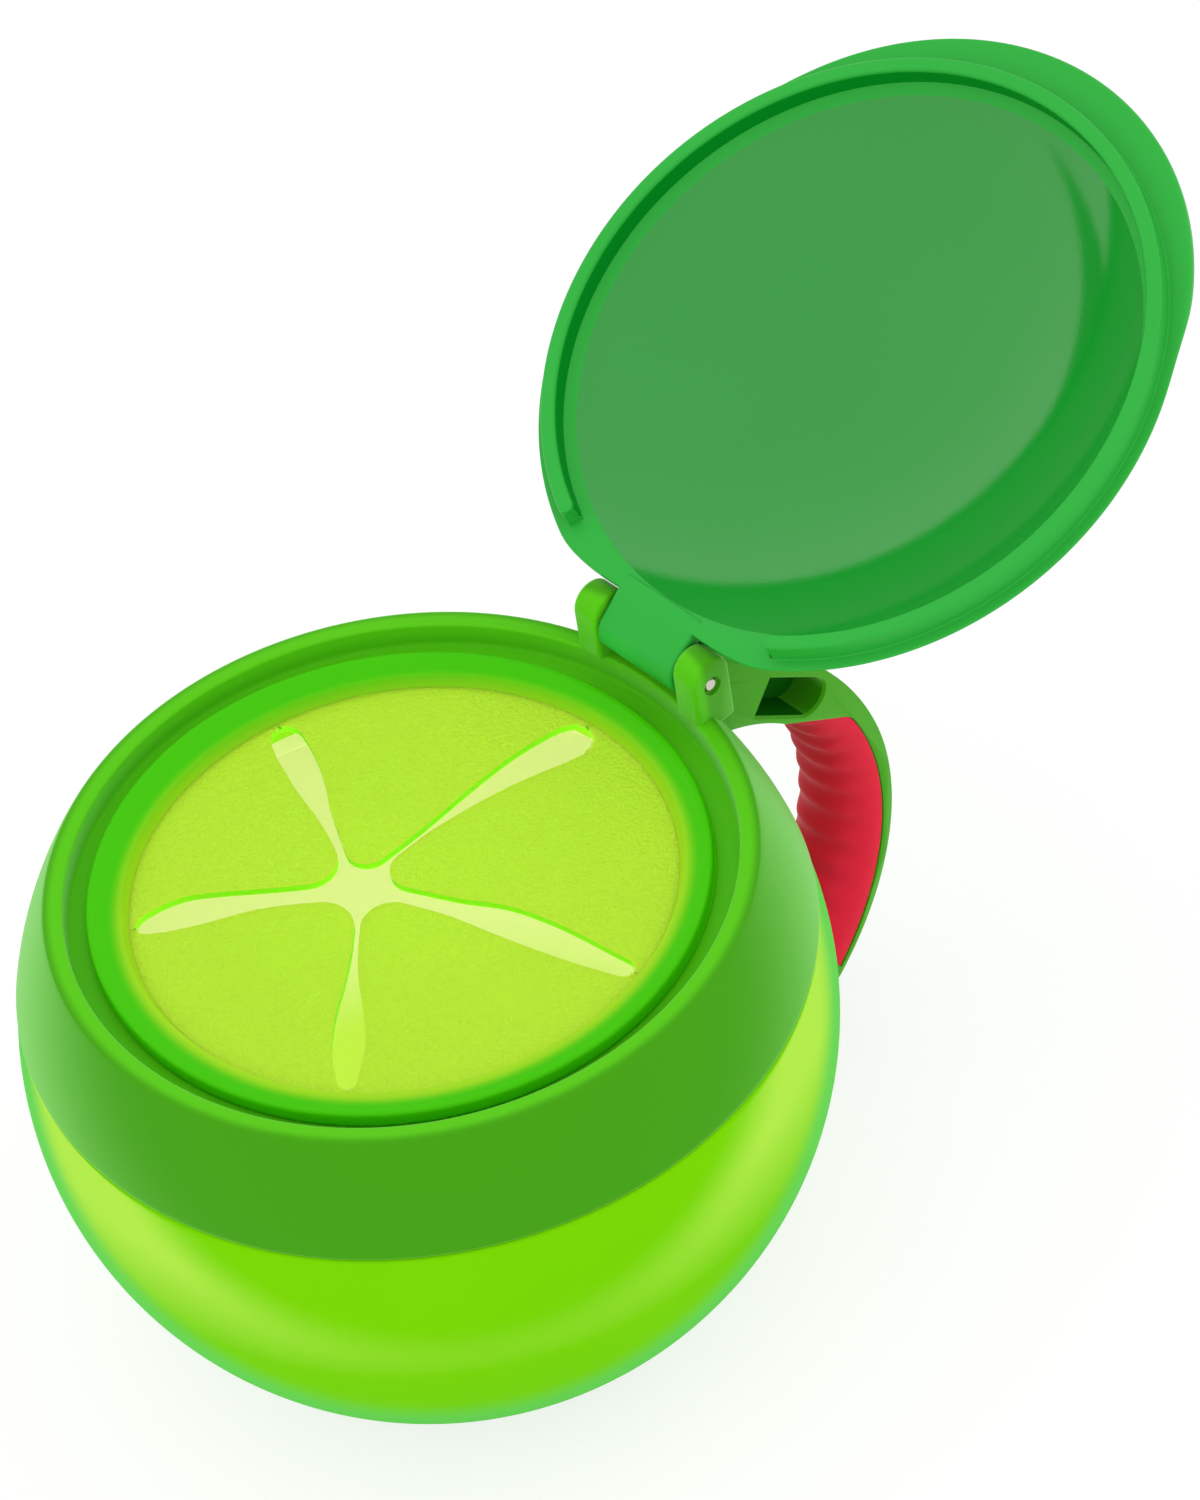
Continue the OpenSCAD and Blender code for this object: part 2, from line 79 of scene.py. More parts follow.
# Angles of the sections of a shape that changes round Z, in degrees.
TURNS = [1.5 * step for step in range(240)]
LOG = logging.getLogger("snack_container")

Point = tuple[float, float]
Corner = tuple[float, float, float]


class Cut(Enum):
    """What a Boolean does with its tool."""

    JOIN = "UNION"
    REMOVE = "DIFFERENCE"


def polar(radius: float, degrees: float) -> Point:
    """Returns the point at a radius and an angle."""
    return radius * math.cos(math.radians(degrees)), radius * math.sin(math.radians(degrees))


def smooth(value: float) -> float:
    """Returns a share from 0 to 1, eased at both ends."""
    share = min(max(value, 0.0), 1.0)
    return share * share * (3 - 2 * share)


def eased(first: float, second: float, soft: float, sign: int) -> float:
    """Gives the larger (sign 1) or smaller (-1) of two lengths, eased within soft of equal."""
    near = max(soft - abs(first - second), 0.0) / soft
    return sign * max(sign * first, sign * second) + sign * near * near * soft / 4


def arc(centre: Point, radius: float, start: float, end: float, steps: int) -> list[Point]:
    """Gives points along an arc.

    Args:
        centre: Middle of the arc.
        radius: Radius of the arc.
        start: Angle of the first point, in degrees.
        end: Angle of the last point, in degrees.
        steps: Number of chords.

    Returns:
        The points, from start to end.
    """
    turns = [start + (end - start) * step / steps for step in range(steps + 1)]
    return [(centre[0] + polar(radius, turn)[0], centre[1] + polar(radius, turn)[1])
            for turn in turns]


def filleted(corners: Sequence[Corner], closed: bool = True, steps: int = 5) -> list[Point]:
    """Rounds the corners of a section.

    Each corner gives the same number of points, also where its radius is too small to
    show, so that sections with equal corners can be lofted.

    Args:
        corners: Corners as (x, y, radius). Radius 0 keeps the corner as one point.
        closed: Whether the last corner joins the first.
        steps: Chords in each rounding.

    Returns:
        The points of the rounded section.
    """
    points: list[Point] = []
    count = len(corners)
    for index, (x, y, radius) in enumerate(corners):
        at_end = not closed and index in (0, count - 1)
        if radius <= 0 or at_end:
            points.append((x, y))
            continue
        here = Vector((x, y))
        back = Vector(corners[index - 1][:2]) - here
        ahead = Vector(corners[(index + 1) % count][:2]) - here
        if back.length < MERGE or ahead.length < MERGE:
            points += [(x, y)] * (steps + 1)
            continue
        u, v = back.normalized(), ahead.normalized()
        half = math.acos(max(-1.0, min(1.0, u.dot(v)))) / 2
        if not SHARPEST <= math.degrees(half) <= FLATTEST:
            points += [(x, y)] * (steps + 1)
            continue
        run = min(radius / math.tan(half), back.length * MOST_OF_SIDE,
                  ahead.length * MOST_OF_SIDE)
        centre = here + (u + v).normalized() * run / math.cos(half)
        first, last = here + u * run - centre, here + v * run - centre
        turn = first.angle_signed(last)
        for step in range(steps + 1):
            spoke = first.copy()
            spoke.rotate(Matrix.Rotation(-turn * step / steps, 2))
            points.append(tuple(centre + spoke))
    return points


def loft(sections: Sequence[Sequence[Vector]], ring: bool = True) -> bmesh.types.BMesh:
    """Joins closed sections with equal numbers of points by faces.

    Args:
        sections: The sections, each a list of points.
        ring: Whether the last section joins the first. If not, both ends are capped.

    Returns:
        A closed mesh with its doubles merged and its faces outwards.
    """
    mesh = bmesh.new()
    rows = [[mesh.verts.new(point) for point in section] for section in sections]
    size = len(rows[0])
    for index in range(len(rows) if ring else len(rows) - 1):
        row, following = rows[index], rows[(index + 1) % len(rows)]
        for k in range(size):
            m = (k + 1) % size
            mesh.faces.new((row[k], row[m], following[m], following[k]))
    if not ring:
        mesh.faces.new(rows[0])
        mesh.faces.new(list(reversed(rows[-1])))
    return mended(mesh)


def mended(mesh: bmesh.types.BMesh) -> bmesh.types.BMesh:
    """Merges doubles and turns the faces outwards, and returns the same mesh."""
    bmesh.ops.remove_doubles(mesh, verts=mesh.verts, dist=MERGE)
    bmesh.ops.dissolve_degenerate(mesh, edges=mesh.edges, dist=MERGE)
    loose = [edge for edge in mesh.edges if not edge.link_faces]
    bmesh.ops.delete(mesh, geom=loose, context="EDGES")
    bmesh.ops.recalc_face_normals(mesh, faces=mesh.faces)
    return mesh


def revolved(section: Sequence[Point], steps: int = 192) -> bmesh.types.BMesh:
    """Turns a closed section of (radius, height) round Z, and returns the mesh."""
    return revolved_by(lambda turn: section, [360 * step / steps for step in range(steps)])


def revolved_by(section_at: Callable[[float], Sequence[Point]],
                turns: Sequence[float]) -> bmesh.types.BMesh:
    """Turns a section that changes with the angle round Z.

    Args:
        section_at: Gives the section of (radius, height) at an angle in degrees.
        turns: The angles, in order.

    Returns:
        The closed mesh.
    """
    return loft([[Vector((*polar(radius, turn), height)) for radius, height in section_at(turn)]
                 for turn in turns])


def extruded(outline: Sequence[Point], half_width: float) -> bmesh.types.BMesh:
    """Extrudes an outline of (y, z) to both sides of X = 0, and returns the mesh."""
    return loft([[Vector((x, y, z)) for y, z in outline] for x in (-half_width, half_width)],
                ring=False)


def shifted(mesh: bmesh.types.BMesh, place: Matrix) -> bmesh.types.BMesh:
    """Moves a mesh by a matrix, and returns it."""
    bmesh.ops.transform(mesh, matrix=place, verts=mesh.verts)
    return mesh


def axle(radius: float, half_width: float, centre: Point, x: float = 0.0,
         steps: int = 64) -> bmesh.types.BMesh:
    """Makes a round bar along X about a centre (y, z), and returns the mesh."""
    bar = extruded(arc(centre, radius, 0, 360 * (steps - 1) / steps, steps - 1), half_width)
    return shifted(bar, Matrix.Translation((x, 0, 0)))


def ball(radius: float, centre: Vector) -> bmesh.types.BMesh:
    """Makes a ball with fine facets, and returns the mesh."""
    mesh = bmesh.new()
    bmesh.ops.create_icosphere(mesh, subdivisions=6, radius=radius,
                               matrix=Matrix.Translation(centre))
    return mesh


def bevel_corners(mesh: bmesh.types.BMesh, width: float, segments: int = 3,
                  wanted: Callable[[bmesh.types.BMEdge], bool] | None = None) -> bmesh.types.BMesh:
    """Rounds the sharp edges of a mesh.

    Args:
        mesh: The mesh.
        width: Width of the rounding.
        segments: Faces across the rounding.
        wanted: Says which of these edges are rounded. Without it, all are.

    Returns:
        The same mesh.
    """
    edges = [edge for edge in mesh.edges
             if len(edge.link_faces) == 2 and edge.calc_face_angle(0) > math.radians(BEVEL_ANGLE)
             and (wanted is None or wanted(edge))]
    bmesh.ops.bevel(mesh, geom=edges, offset=width, segments=segments, affect="EDGES",
                    profile=0.5, clamp_overlap=True)
    return mesh


def as_object(mesh: bmesh.types.BMesh, name: str) -> bpy.types.Object:
    """Puts a mesh in millimetres into a new object in metres, and returns the object."""
    bmesh.ops.scale(mesh, vec=(MM, MM, MM), verts=mesh.verts)
    data = bpy.data.meshes.new(name)
    mesh.to_mesh(data)
    mesh.free()
    piece = bpy.data.objects.new(name, data)
    bpy.context.scene.collection.objects.link(piece)
    return piece


def settle(piece: bpy.types.Object) -> bpy.types.Object:
    """Makes the evaluated mesh of a piece its own mesh, without modifiers, and returns it."""
    graph = bpy.context.evaluated_depsgraph_get()
    result = bpy.data.meshes.new_from_object(piece.evaluated_get(graph))
    old = piece.data
    piece.modifiers.clear()
    piece.data = result
    result.name = piece.name
    bpy.data.meshes.remove(old)
    return piece


def carve(piece: bpy.types.Object, tool: bmesh.types.BMesh, how: Cut) -> bpy.types.Object:
    """Applies a Boolean to a piece.

    Args:
        piece: The piece, which changes.
        tool: The other solid, in millimetres.
        how: What the tool does.

    Returns:
        The same piece.
    """
    other = as_object(tool, "tool")
    step = piece.modifiers.new("cut", "BOOLEAN")
    step.operation, step.solver, step.object = how.value, "EXACT", other
    settle(piece)
    data = other.data
    bpy.data.objects.remove(other)
    bpy.data.meshes.remove(data)
    return piece


def linear(colour: str) -> tuple[float, float, float, float]:
    """Turns an sRGB hex colour into linear values, and returns them with alpha 1."""
    shares = [int(colour[k:k + 2], 16) / 255 for k in (1, 3, 5)]
    return (*(share / 12.92 if share <= 0.04045 else ((share + 0.055) / 1.055) ** 2.4
              for share in shares), 1.0)


def add_node(tree: bpy.types.NodeTree, kind: str, settings: Mapping[str, object] | None = None,
             inputs: Mapping[str | int, object] | None = None) -> bpy.types.Node:
    """Adds a node to a tree.

    Args:
        tree: The tree.
        kind: The node's type.
        settings: Values of its properties.
        inputs: Values for its input sockets, or the output sockets that they link to.

    Returns:
        The node.
    """
    node = tree.nodes.new(kind)
    for name, value in (settings or {}).items():
        setattr(node, name, value)
    for key, value in (inputs or {}).items():
        if isinstance(value, bpy.types.NodeSocket):
            tree.links.new(value, node.inputs[key])
        else:
            node.inputs[key].default_value = value
    return node


@dataclass(frozen=True)
class MouldedPlastic:
    """An injection-moulded plastic: a soft sheen over a body that differs a little in tint.

    Attributes:
        name: Name of the material.
        colour: Colour of the body.
        tint: Colour of its slightly different places.
        roughness: Roughness of the mould's polish.
        spread: How much the roughness differs from place to place.
        ior: Index of refraction.
        subsurface: Share of light that scatters inside.
        depth_mm: How deep it scatters.
        transmission: Share of light that passes through.
        cloud_mm: Size of the tint's clouds.
        grain_mm: Size of the surface's grain.
        grain: Strength of the grain.
        sheen: Strength of the soft sheen at grazing angles.
        sheen_tint: Colour of that sheen.
        specular: Level of its mirror-like reflection.
        rim: Colour away from the axis, if it differs.
        rim_mm: Radii between which the colour turns into that one.
        rim_centre_mm: Middle of those circles.
        slant: Painted colour, standing in for light, where the wall is seen at a slant, if it
            differs.
        slant_share: Facing values between which the colour turns into that one.
        slant_mm: Heights between which that colour comes in.
        brink: Painted colour, standing in for light, at the very edge of the shape, if it differs.
        brink_share: Facing values between which the colour turns into that one.
        scatter: How far red, green and blue light scatter, in proportion.
    """

    name: str
    colour: str
    tint: str
    roughness: float
    spread: float = 0.05
    ior: float = 1.49
    subsurface: float = 0.0
    depth_mm: float = 1.0
    transmission: float = 0.0
    cloud_mm: float = 25.0
    grain_mm: float = 0.6
    grain: float = 0.05
    sheen: float = 0.0
    sheen_tint: str = "#ffffff"
    specular: float = 0.5
    rim: str | None = None
    rim_mm: Point = (24.0, 34.0)
    rim_centre_mm: Point = (0.0, 0.0)
    slant: str | None = None
    slant_share: Point = (0.5, 0.75)
    slant_mm: Point = (-2.0, -1.0)
    brink: str | None = None
    brink_share: Point = (0.68, 0.86)
    scatter: Corner = (0.8, 1.0, 0.4)

    def rim_tint(self, tree: bpy.types.NodeTree, place: bpy.types.NodeSocket,
                 inner: bpy.types.NodeSocket) -> bpy.types.NodeSocket:
        """Turns a colour into the rim's with the distance from the axis.

        Args:
            tree: The material's tree.
            place: Object coordinates.
            inner: The colour near the axis.

        Returns:
            The colour.
        """
        flat = add_node(tree, "ShaderNodeMapping", inputs={
            "Vector": place, "Scale": (1.0, 1.0, 0.0),
            "Location": (*(-value * MM for value in self.rim_centre_mm), 0.0)})
        radius = add_node(tree, "ShaderNodeVectorMath", {"operation": "LENGTH"},
                          {0: flat.outputs[0]})
        share = add_node(tree, "ShaderNodeMapRange", {"interpolation_type": "SMOOTHSTEP"}, {
            "Value": radius.outputs["Value"], "From Min": self.rim_mm[0] * MM,
            "From Max": self.rim_mm[1] * MM})
        return add_node(tree, "ShaderNodeMix", {"data_type": "RGBA"}, {
            0: share.outputs[0], 6: inner, 7: linear(self.rim)}).outputs[2]

    def painted_slant_light(self, tree: bpy.types.NodeTree, place: bpy.types.NodeSocket,
                   inner: bpy.types.NodeSocket) -> bpy.types.NodeSocket:
        """Paints light into a colour where the wall is seen at a slant, and at its very edge.

        Args:
            tree: The material's tree.
            place: Object coordinates.
            inner: The colour where the wall faces the eye.

        Returns:
            The colour.
        """
        facing = add_node(tree, "ShaderNodeLayerWeight", inputs={"Blend": 0.5}).outputs["Facing"]
        height = add_node(tree, "ShaderNodeSeparateXYZ", inputs={0: place}).outputs["Z"]
        lit = add_node(tree, "ShaderNodeMapRange", inputs={
            "Value": height, "From Min": self.slant_mm[0] * MM, "From Max": self.slant_mm[1] * MM})
        for colour, (start, end), most in ((self.slant, self.slant_share, lit.outputs[0]),
                                           (self.brink, self.brink_share, 1.0)):
            if colour:
                share = add_node(tree, "ShaderNodeMapRange", {
                    "interpolation_type": "SMOOTHSTEP"}, {
                    "Value": facing, "From Min": start, "From Max": end, "To Max": most})
                inner = add_node(tree, "ShaderNodeMix", {"data_type": "RGBA"}, {
                    0: share.outputs[0], 6: inner, 7: linear(colour)}).outputs[2]
        return inner

    def build(self) -> bpy.types.Material:
        """Builds the material from object coordinates and returns it."""
        material = bpy.data.materials.new(self.name)
        material.use_nodes = True
        tree = material.node_tree
        shader = tree.nodes["Principled BSDF"]
        place = add_node(tree, "ShaderNodeTexCoord").outputs["Object"]
        clouds = add_node(tree, "ShaderNodeTexNoise", inputs={
            "Vector": place, "Scale": 1 / (self.cloud_mm * MM), "Detail": 2.0})
        tints = add_node(tree, "ShaderNodeMix", {"data_type": "RGBA"}, {
            0: clouds.outputs["Fac"], 6: linear(self.colour), 7: linear(self.tint)})
        polish = add_node(tree, "ShaderNodeMapRange", inputs={
            "Value": clouds.outputs["Fac"], "From Min": NOISE_RANGE[0],
            "From Max": NOISE_RANGE[1], "To Min": self.roughness - self.spread,
            "To Max": self.roughness + self.spread})
        grains = add_node(tree, "ShaderNodeTexNoise", inputs={
            "Vector": place, "Scale": 1 / (self.grain_mm * MM), "Detail": 3.0})
        bump = add_node(tree, "ShaderNodeBump", inputs={
            "Height": grains.outputs["Fac"], "Strength": self.grain,
            "Distance": self.grain_mm * MM})
        for key, value in {"IOR": self.ior, "Subsurface Weight": self.subsurface,
                           "Subsurface Scale": self.depth_mm * MM,
                           "Subsurface Radius": self.scatter,
                           "Specular IOR Level": self.specular,
                           "Transmission Weight": self.transmission,
                           "Sheen Weight": self.sheen,
                           "Sheen Tint": linear(self.sheen_tint)}.items():
            shader.inputs[key].default_value = value
        colour = tints.outputs[2]
        if self.rim:
            colour = self.rim_tint(tree, place, colour)
        if self.slant:
            colour = self.painted_slant_light(tree, place, colour)
        for key, value in {"Base Color": colour, "Roughness": polish.outputs[0],
                           "Normal": bump.outputs["Normal"]}.items():
            tree.links.new(value, shader.inputs[key])
        return material


@dataclass(frozen=True)
class DrawnSteel:
    """Drawn stainless steel, whose faint lines along the wire stretch its reflections.

    Attributes:
        name: Name of the material.
        colour: Colour of the metal.
        roughness: Roughness across the lines.
        spread: How much the roughness differs from line to line.
        line_mm: Distance between the lines.
        stretch: Scale of the lines along the wire and across it.
    """

    name: str = "drawn_stainless_steel"
    colour: str = "#cfc8c0"
    roughness: float = 0.3
    spread: float = 0.1
    line_mm: float = 0.3
    stretch: Corner = (0.02, 1.0, 1.0)

    def build(self) -> bpy.types.Material:
        """Builds the material from object coordinates and returns it."""
        material = bpy.data.materials.new(self.name)
        material.use_nodes = True
        tree = material.node_tree
        shader = tree.nodes["Principled BSDF"]
        shader.inputs["Base Color"].default_value = linear(self.colour)
        shader.inputs["Metallic"].default_value = 1.0
        place = add_node(tree, "ShaderNodeTexCoord").outputs["Object"]
        along = add_node(tree, "ShaderNodeMapping", inputs={
            "Vector": place, "Scale": self.stretch})
        lines = add_node(tree, "ShaderNodeTexNoise", inputs={
            "Vector": along.outputs[0], "Scale": 1 / (self.line_mm * MM), "Detail": 2.0})
        polish = add_node(tree, "ShaderNodeMapRange", inputs={
            "Value": lines.outputs["Fac"], "To Min": self.roughness - self.spread,
            "To Max": self.roughness + self.spread})
        tree.links.new(polish.outputs[0], shader.inputs["Roughness"])
        return material


class Finish(Enum):
    """The finishes of the container."""

    # The thin wall: saturated lime where it faces the eye, with painted light: paler where seen at
    # a slant, most towards the top, and a greener band painted at its very edge.
    BOWL = MouldedPlastic("translucent_polypropylene", "#7cd800", "#74d200", 0.25, 0.03,
                          transmission=0.05, grain=0.02, specular=0.0, slant="#b2ea4a",
                          slant_share=(0.36, 0.52), slant_mm=(32.0, 46.0), brink="#68d654")
    # The bowl's inner side: pale, because daylight comes through the wall behind it.
    CHAMBER = MouldedPlastic("matt_translucent_polypropylene", "#cdea5c", "#c8e650", 0.45,
                             0.04, transmission=0.3, grain=0.03, specular=0.2,
                             rim="#eef0b4", rim_mm=(31.0, 39.0))
    # Opaque satin green with a soft sheen; painted light makes the rim's top and inner wall lighter
    # than the outside, and a paler painted sheen where its faces turn away.
    COLLAR = MouldedPlastic("satin_polypropylene", "#58c412", "#54c010", 0.4, 0.05,
                            grain=0.04, specular=0.06, sheen=0.1, sheen_tint="#b8f8a0",
                            rim="#429c0c", rim_mm=(40.2, 41.5), slant="#74cc50",
                            slant_share=(0.3, 0.85))
    # The same plastic in the shade of the arm's recess.
    POCKET = MouldedPlastic("shaded_polypropylene", "#0c6a04", "#0a6003", 0.5, 0.05,
                            grain=0.04, specular=0.1)
    # The polished hollow of the lid: a clear mirror of the bright room over a deeper green, painted
    # shade for the hollow.
    LID = MouldedPlastic("polished_polypropylene", "#169a2c", "#139528", 0.1, 0.015,
                         grain=0.01, specular=0.6)
    # The rest of the lid: a lighter green than the hollow's painted shade, with a satin polish that
    # also makes it look lighter.
    TAB = MouldedPlastic("moulded_polypropylene", "#2eb03e", "#2aaa3a", 0.36, 0.05,
                         grain=0.03, specular=0.16)
    # The thin soft membrane: painted yellow-green for the light below and greener towards its edge
    # where less of it comes through, with a fine matt grain.
    FLAP = MouldedPlastic("translucent_elastomer", "#c0ee2c", "#c8f034", 0.5, 0.05,
                          subsurface=0.4, depth_mm=2.0, transmission=0.25, grain_mm=0.5,
                          grain=0.8, specular=0.1, rim="#44c800", rim_mm=(32.0, 34.2),
                          rim_centre_mm=(0.8, -0.6))
    # The same elastomer where it is thick: it takes less light and turns green outwards.
    RING = MouldedPlastic("thick_translucent_elastomer", "#a8e022", "#a4dc20", 0.4, 0.05,
                          subsurface=0.2, transmission=0.1, grain_mm=0.3, grain=0.08,
                          specular=0.03, rim="#46c800", rim_mm=(32.0, 34.2),
                          rim_centre_mm=(0.8, -0.6))
    # The rounded edge of a cut: a thin darker green line of painted shade round each slot.
    EDGE = MouldedPlastic("cut_elastomer", "#54c800", "#4ec400", 0.4, 0.05,
                          subsurface=0.2, transmission=0.1, specular=0.05)
    # The cut itself: bright, because the light below leaves the membrane there.
    WALL = MouldedPlastic("cut_elastomer_lit_from_below", "#92ee20", "#8cea1a", 0.4, 0.05,
                          subsurface=0.4, transmission=0.1, specular=0.05)
    # The inner wall of the lid's bead: painted shade, a dark line round the hollow.
    BEAD = MouldedPlastic("moulded_polypropylene_painted_shade", "#049226", "#038e22", 0.4, 0.05,
                          specular=0.06)
    # Soft-touch rubber: dull red with a pinkish bloom where it turns away.
    GRIP = MouldedPlastic("overmoulded_elastomer", "#ee1c3e", "#e61838", 0.5, 0.06,
                          grain_mm=0.3, grain=0.1, specular=0.12, sheen=0.15,
                          sheen_tint="#ff90a0")
    # The end of a steel wire: pale grey, with a blurred glint.
    PIN = DrawnSteel()

    def build(self) -> bpy.types.Material:
        """Returns this finish's material, made when it is first asked for."""
        return bpy.data.materials.get(self.value.name) or self.value.build()


def dress(piece: bpy.types.Object, finish: Finish) -> bpy.types.Object:
    """Gives a piece its finish and smooth shading, and returns the piece."""
    piece.data.materials.clear()
    piece.data.materials.append(finish.build())
    piece.data.shade_smooth()
    piece.data.set_sharp_from_angle(angle=math.radians(SMOOTH_ANGLE))
    return piece


def report(piece: bpy.types.Object) -> None:
    """Logs a piece and its number of faces."""
    LOG.info("%s: %d faces", piece.name, len(piece.data.polygons))


def edges_of(node: str) -> tuple[Vector, Vector]:
    """Returns the lowest and highest corner of a CAD node, in millimetres."""
    low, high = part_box(node)
    return low / MM, high / MM


@dataclass(frozen=True)
class Layout:
    """Sizes that several pieces share, read from the frame.

    Attributes:
        ball_r: Radius of the bowl's ball.
        base_r: Radius of its foot.
        collar_r: Radius of the ball that the collar's outside follows.
        collar_z: Height of the collar's lower edge.
        rim_z: Height of the rim.
        neck_top: Height of the bowl's neck.
        pin: Middle of the pin, as (y, z).
        pin_half: Half of the pin's length.
        pin_r: Radius of the pin.
        upstand_drop: Top of the insert's upstand below the rim.
        rim_w: Width of the rim's flat top.
        ledge_drop: Depth from the rim to the ledge.
        ledge_t: Thickness of the ledge.
        ledge_w: Width of the ledge.
    """

    ball_r: float
    collar_r: float
    collar_z: float
    rim_z: float
    neck_top: float
    pin: Point
    pin_half: float
    pin_r: float = 1.0
    upstand_drop: float = 1.0
    base_r: float = 24.0
    rim_w: float = 2.3
    ledge_drop: float = 3.2
    ledge_t: float = 1.8
    ledge_w: float = 6.1

    @classmethod
    def read(cls) -> "Layout":
        """Reads the sizes from the CAD nodes and returns them."""
        bowl, collar, pin, ring = (edges_of(name) for name in
                                   ("bowl", "collar", "hinge_pin", "flap_ring"))
        ball_r = round(bowl[1].x, 1)
        above = collar[0].z - math.sqrt(ball_r ** 2 - cls.base_r ** 2)
        return cls(ball_r=ball_r, collar_r=round(math.hypot(collar[1].x, above), 2),
                   collar_z=round(collar[0].z, 2), rim_z=round(ring[1].z + cls.upstand_drop, 2),
                   neck_top=round(bowl[1].z, 2), pin_half=round(pin[1].x, 2),
                   pin=((pin[0].y + pin[1].y) / 2, (pin[0].z + pin[1].z) / 2))

    @property
    def ball_z(self) -> float:
        """Height of the ball's middle."""
        return math.sqrt(self.ball_r ** 2 - self.base_r ** 2)

    @property
    def rim_r(self) -> float:
        """Radius of the rim's outer edge."""
        return self.radius_at(self.collar_r, self.rim_z)

    @property
    def groove_r(self) -> float:
        """Radius of the rim's inner wall."""
        return self.rim_r - self.rim_w

    @property
    def ledge_z(self) -> float:
        """Height of the ledge."""
        return self.rim_z - self.ledge_drop

    @property
    def mouth_r(self) -> float:
        """Radius of the ledge's inner edge."""
        return self.groove_r - self.ledge_w

    def radius_at(self, radius: float, height: float) -> float:
        """Returns the radius at a height of a ball about the bowl's middle."""
        return math.sqrt(radius ** 2 - (height - self.ball_z) ** 2)

    def ball_arc(self, radius: float, low: float, high: float, steps: int) -> list[Corner]:
        """Gives the section of a ball about the bowl's middle.

        Args:
            radius: Radius of the ball.
            low: Height of the first point.
            high: Height of the last point.
            steps: Number of chords.

        Returns:
            The points as corners without rounding.
        """
        turns = [math.degrees(math.asin((height - self.ball_z) / radius))
                 for height in (low, high)]
        return [(*point, 0.0) for point in arc((0.0, self.ball_z), radius, *turns, steps)]


@dataclass
class ScrewThread:
    """One turn of a rounded screw thread round Z, swept by Geometry Nodes.

    Attributes:
        name: Name of the piece.
        radius: Radius of the thread's middle line.
        height: Height at which it starts.
        pitch: Rise in one turn.
        turns: Number of turns.
        depth: Radius of the thread's section.
        chords: Chords in each turn.
        sides: Sides of the thread's section.
        run_out: Share of the thread's length in which its ends taper.
        end_share: Size of the tapered ends.
    """

    name: str
    radius: float
    height: float
    pitch: float = 3.2
    turns: float = 1.25
    depth: float = 0.5
    chords: int = 96
    sides: int = 10
    run_out: float = 0.04
    end_share: float = 0.15

    def tree(self, finish: Finish) -> bpy.types.NodeTree:
        """Builds the Geometry Nodes tree that sweeps the thread.

        Args:
            finish: The finish that it sets.

        Returns:
            The tree, with inputs for the thread's sizes.
        """
        tree = bpy.data.node_groups.new(self.name, "GeometryNodeTree")
        for label in ("Radius", "Height", "Pitch", "Turns", "Depth"):
            tree.interface.new_socket(label, in_out="INPUT", socket_type="NodeSocketFloat")
        tree.interface.new_socket("Geometry", in_out="OUTPUT", socket_type="NodeSocketGeometry")
        sizes = add_node(tree, "NodeGroupInput").outputs
        rise = add_node(tree, "ShaderNodeMath", {"operation": "MULTIPLY"},
                        {0: sizes["Pitch"], 1: sizes["Turns"]})
        spiral = add_node(tree, "GeometryNodeCurveSpiral", inputs={
            "Resolution": self.chords, "Rotations": sizes["Turns"], "Start Radius": sizes["Radius"],
            "End Radius": sizes["Radius"], "Height": rise.outputs[0]})
        along = add_node(tree, "GeometryNodeSplineParameter").outputs["Factor"]
        inwards = add_node(tree, "ShaderNodeMath", {"operation": "PINGPONG"}, {0: along, 1: 0.5})
        taper = add_node(tree, "ShaderNodeMapRange", {"interpolation_type": "SMOOTHSTEP"}, {
            "Value": inwards.outputs[0], "From Max": self.run_out, "To Min": self.end_share})
        tapered = add_node(tree, "GeometryNodeSetCurveRadius", inputs={
            "Curve": spiral.outputs[0], "Radius": taper.outputs[0]})
        section = add_node(tree, "GeometryNodeCurvePrimitiveCircle", inputs={
            "Resolution": self.sides, "Radius": sizes["Depth"]})
        swept = add_node(tree, "GeometryNodeCurveToMesh", inputs={
            "Curve": tapered.outputs[0], "Profile Curve": section.outputs[0],
            "Fill Caps": True})
        lift = add_node(tree, "ShaderNodeCombineXYZ", inputs={"Z": sizes["Height"]})
        placed = add_node(tree, "GeometryNodeTransform", inputs={
            "Geometry": swept.outputs[0], "Translation": lift.outputs[0]})
        real = add_node(tree, "GeometryNodeRealizeInstances", inputs={0: placed.outputs[0]})
        painted = add_node(tree, "GeometryNodeSetMaterial", inputs={
            "Geometry": real.outputs[0], "Material": finish.build()})
        add_node(tree, "NodeGroupOutput", inputs={0: painted.outputs[0]})
        return tree

    def make(self, body: str, finish: Finish) -> bpy.types.Object:
        """Builds the thread and lets it ride on a body.

        Args:
            body: Name of the body.
            finish: Finish of the thread.

        Returns:
            The piece.
        """
        piece = as_object(bmesh.new(), self.name)
        tree = self.tree(finish)
        sizes = {"Radius": self.radius * MM, "Height": self.height * MM, "Pitch": self.pitch * MM,
                 "Turns": self.turns, "Depth": self.depth * MM}
        apply_tree(piece, tree, sizes)
        dress(piece, finish)
        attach(piece, body)
        report(piece)
        return piece


def apply_tree(piece: bpy.types.Object, tree: bpy.types.NodeTree,
               sizes: Mapping[str, object]) -> None:
    """Runs a Geometry Nodes tree on a piece and keeps its mesh.

    Args:
        piece: The piece.
        tree: The tree.
        sizes: Value of each named input.
    """
    step = piece.modifiers.new(tree.name, "NODES")
    step.node_group = tree
    for item in tree.interface.items_tree:
        if item.in_out == "INPUT" and item.name in sizes:
            step[item.identifier] = sizes[item.name]
    settle(piece)


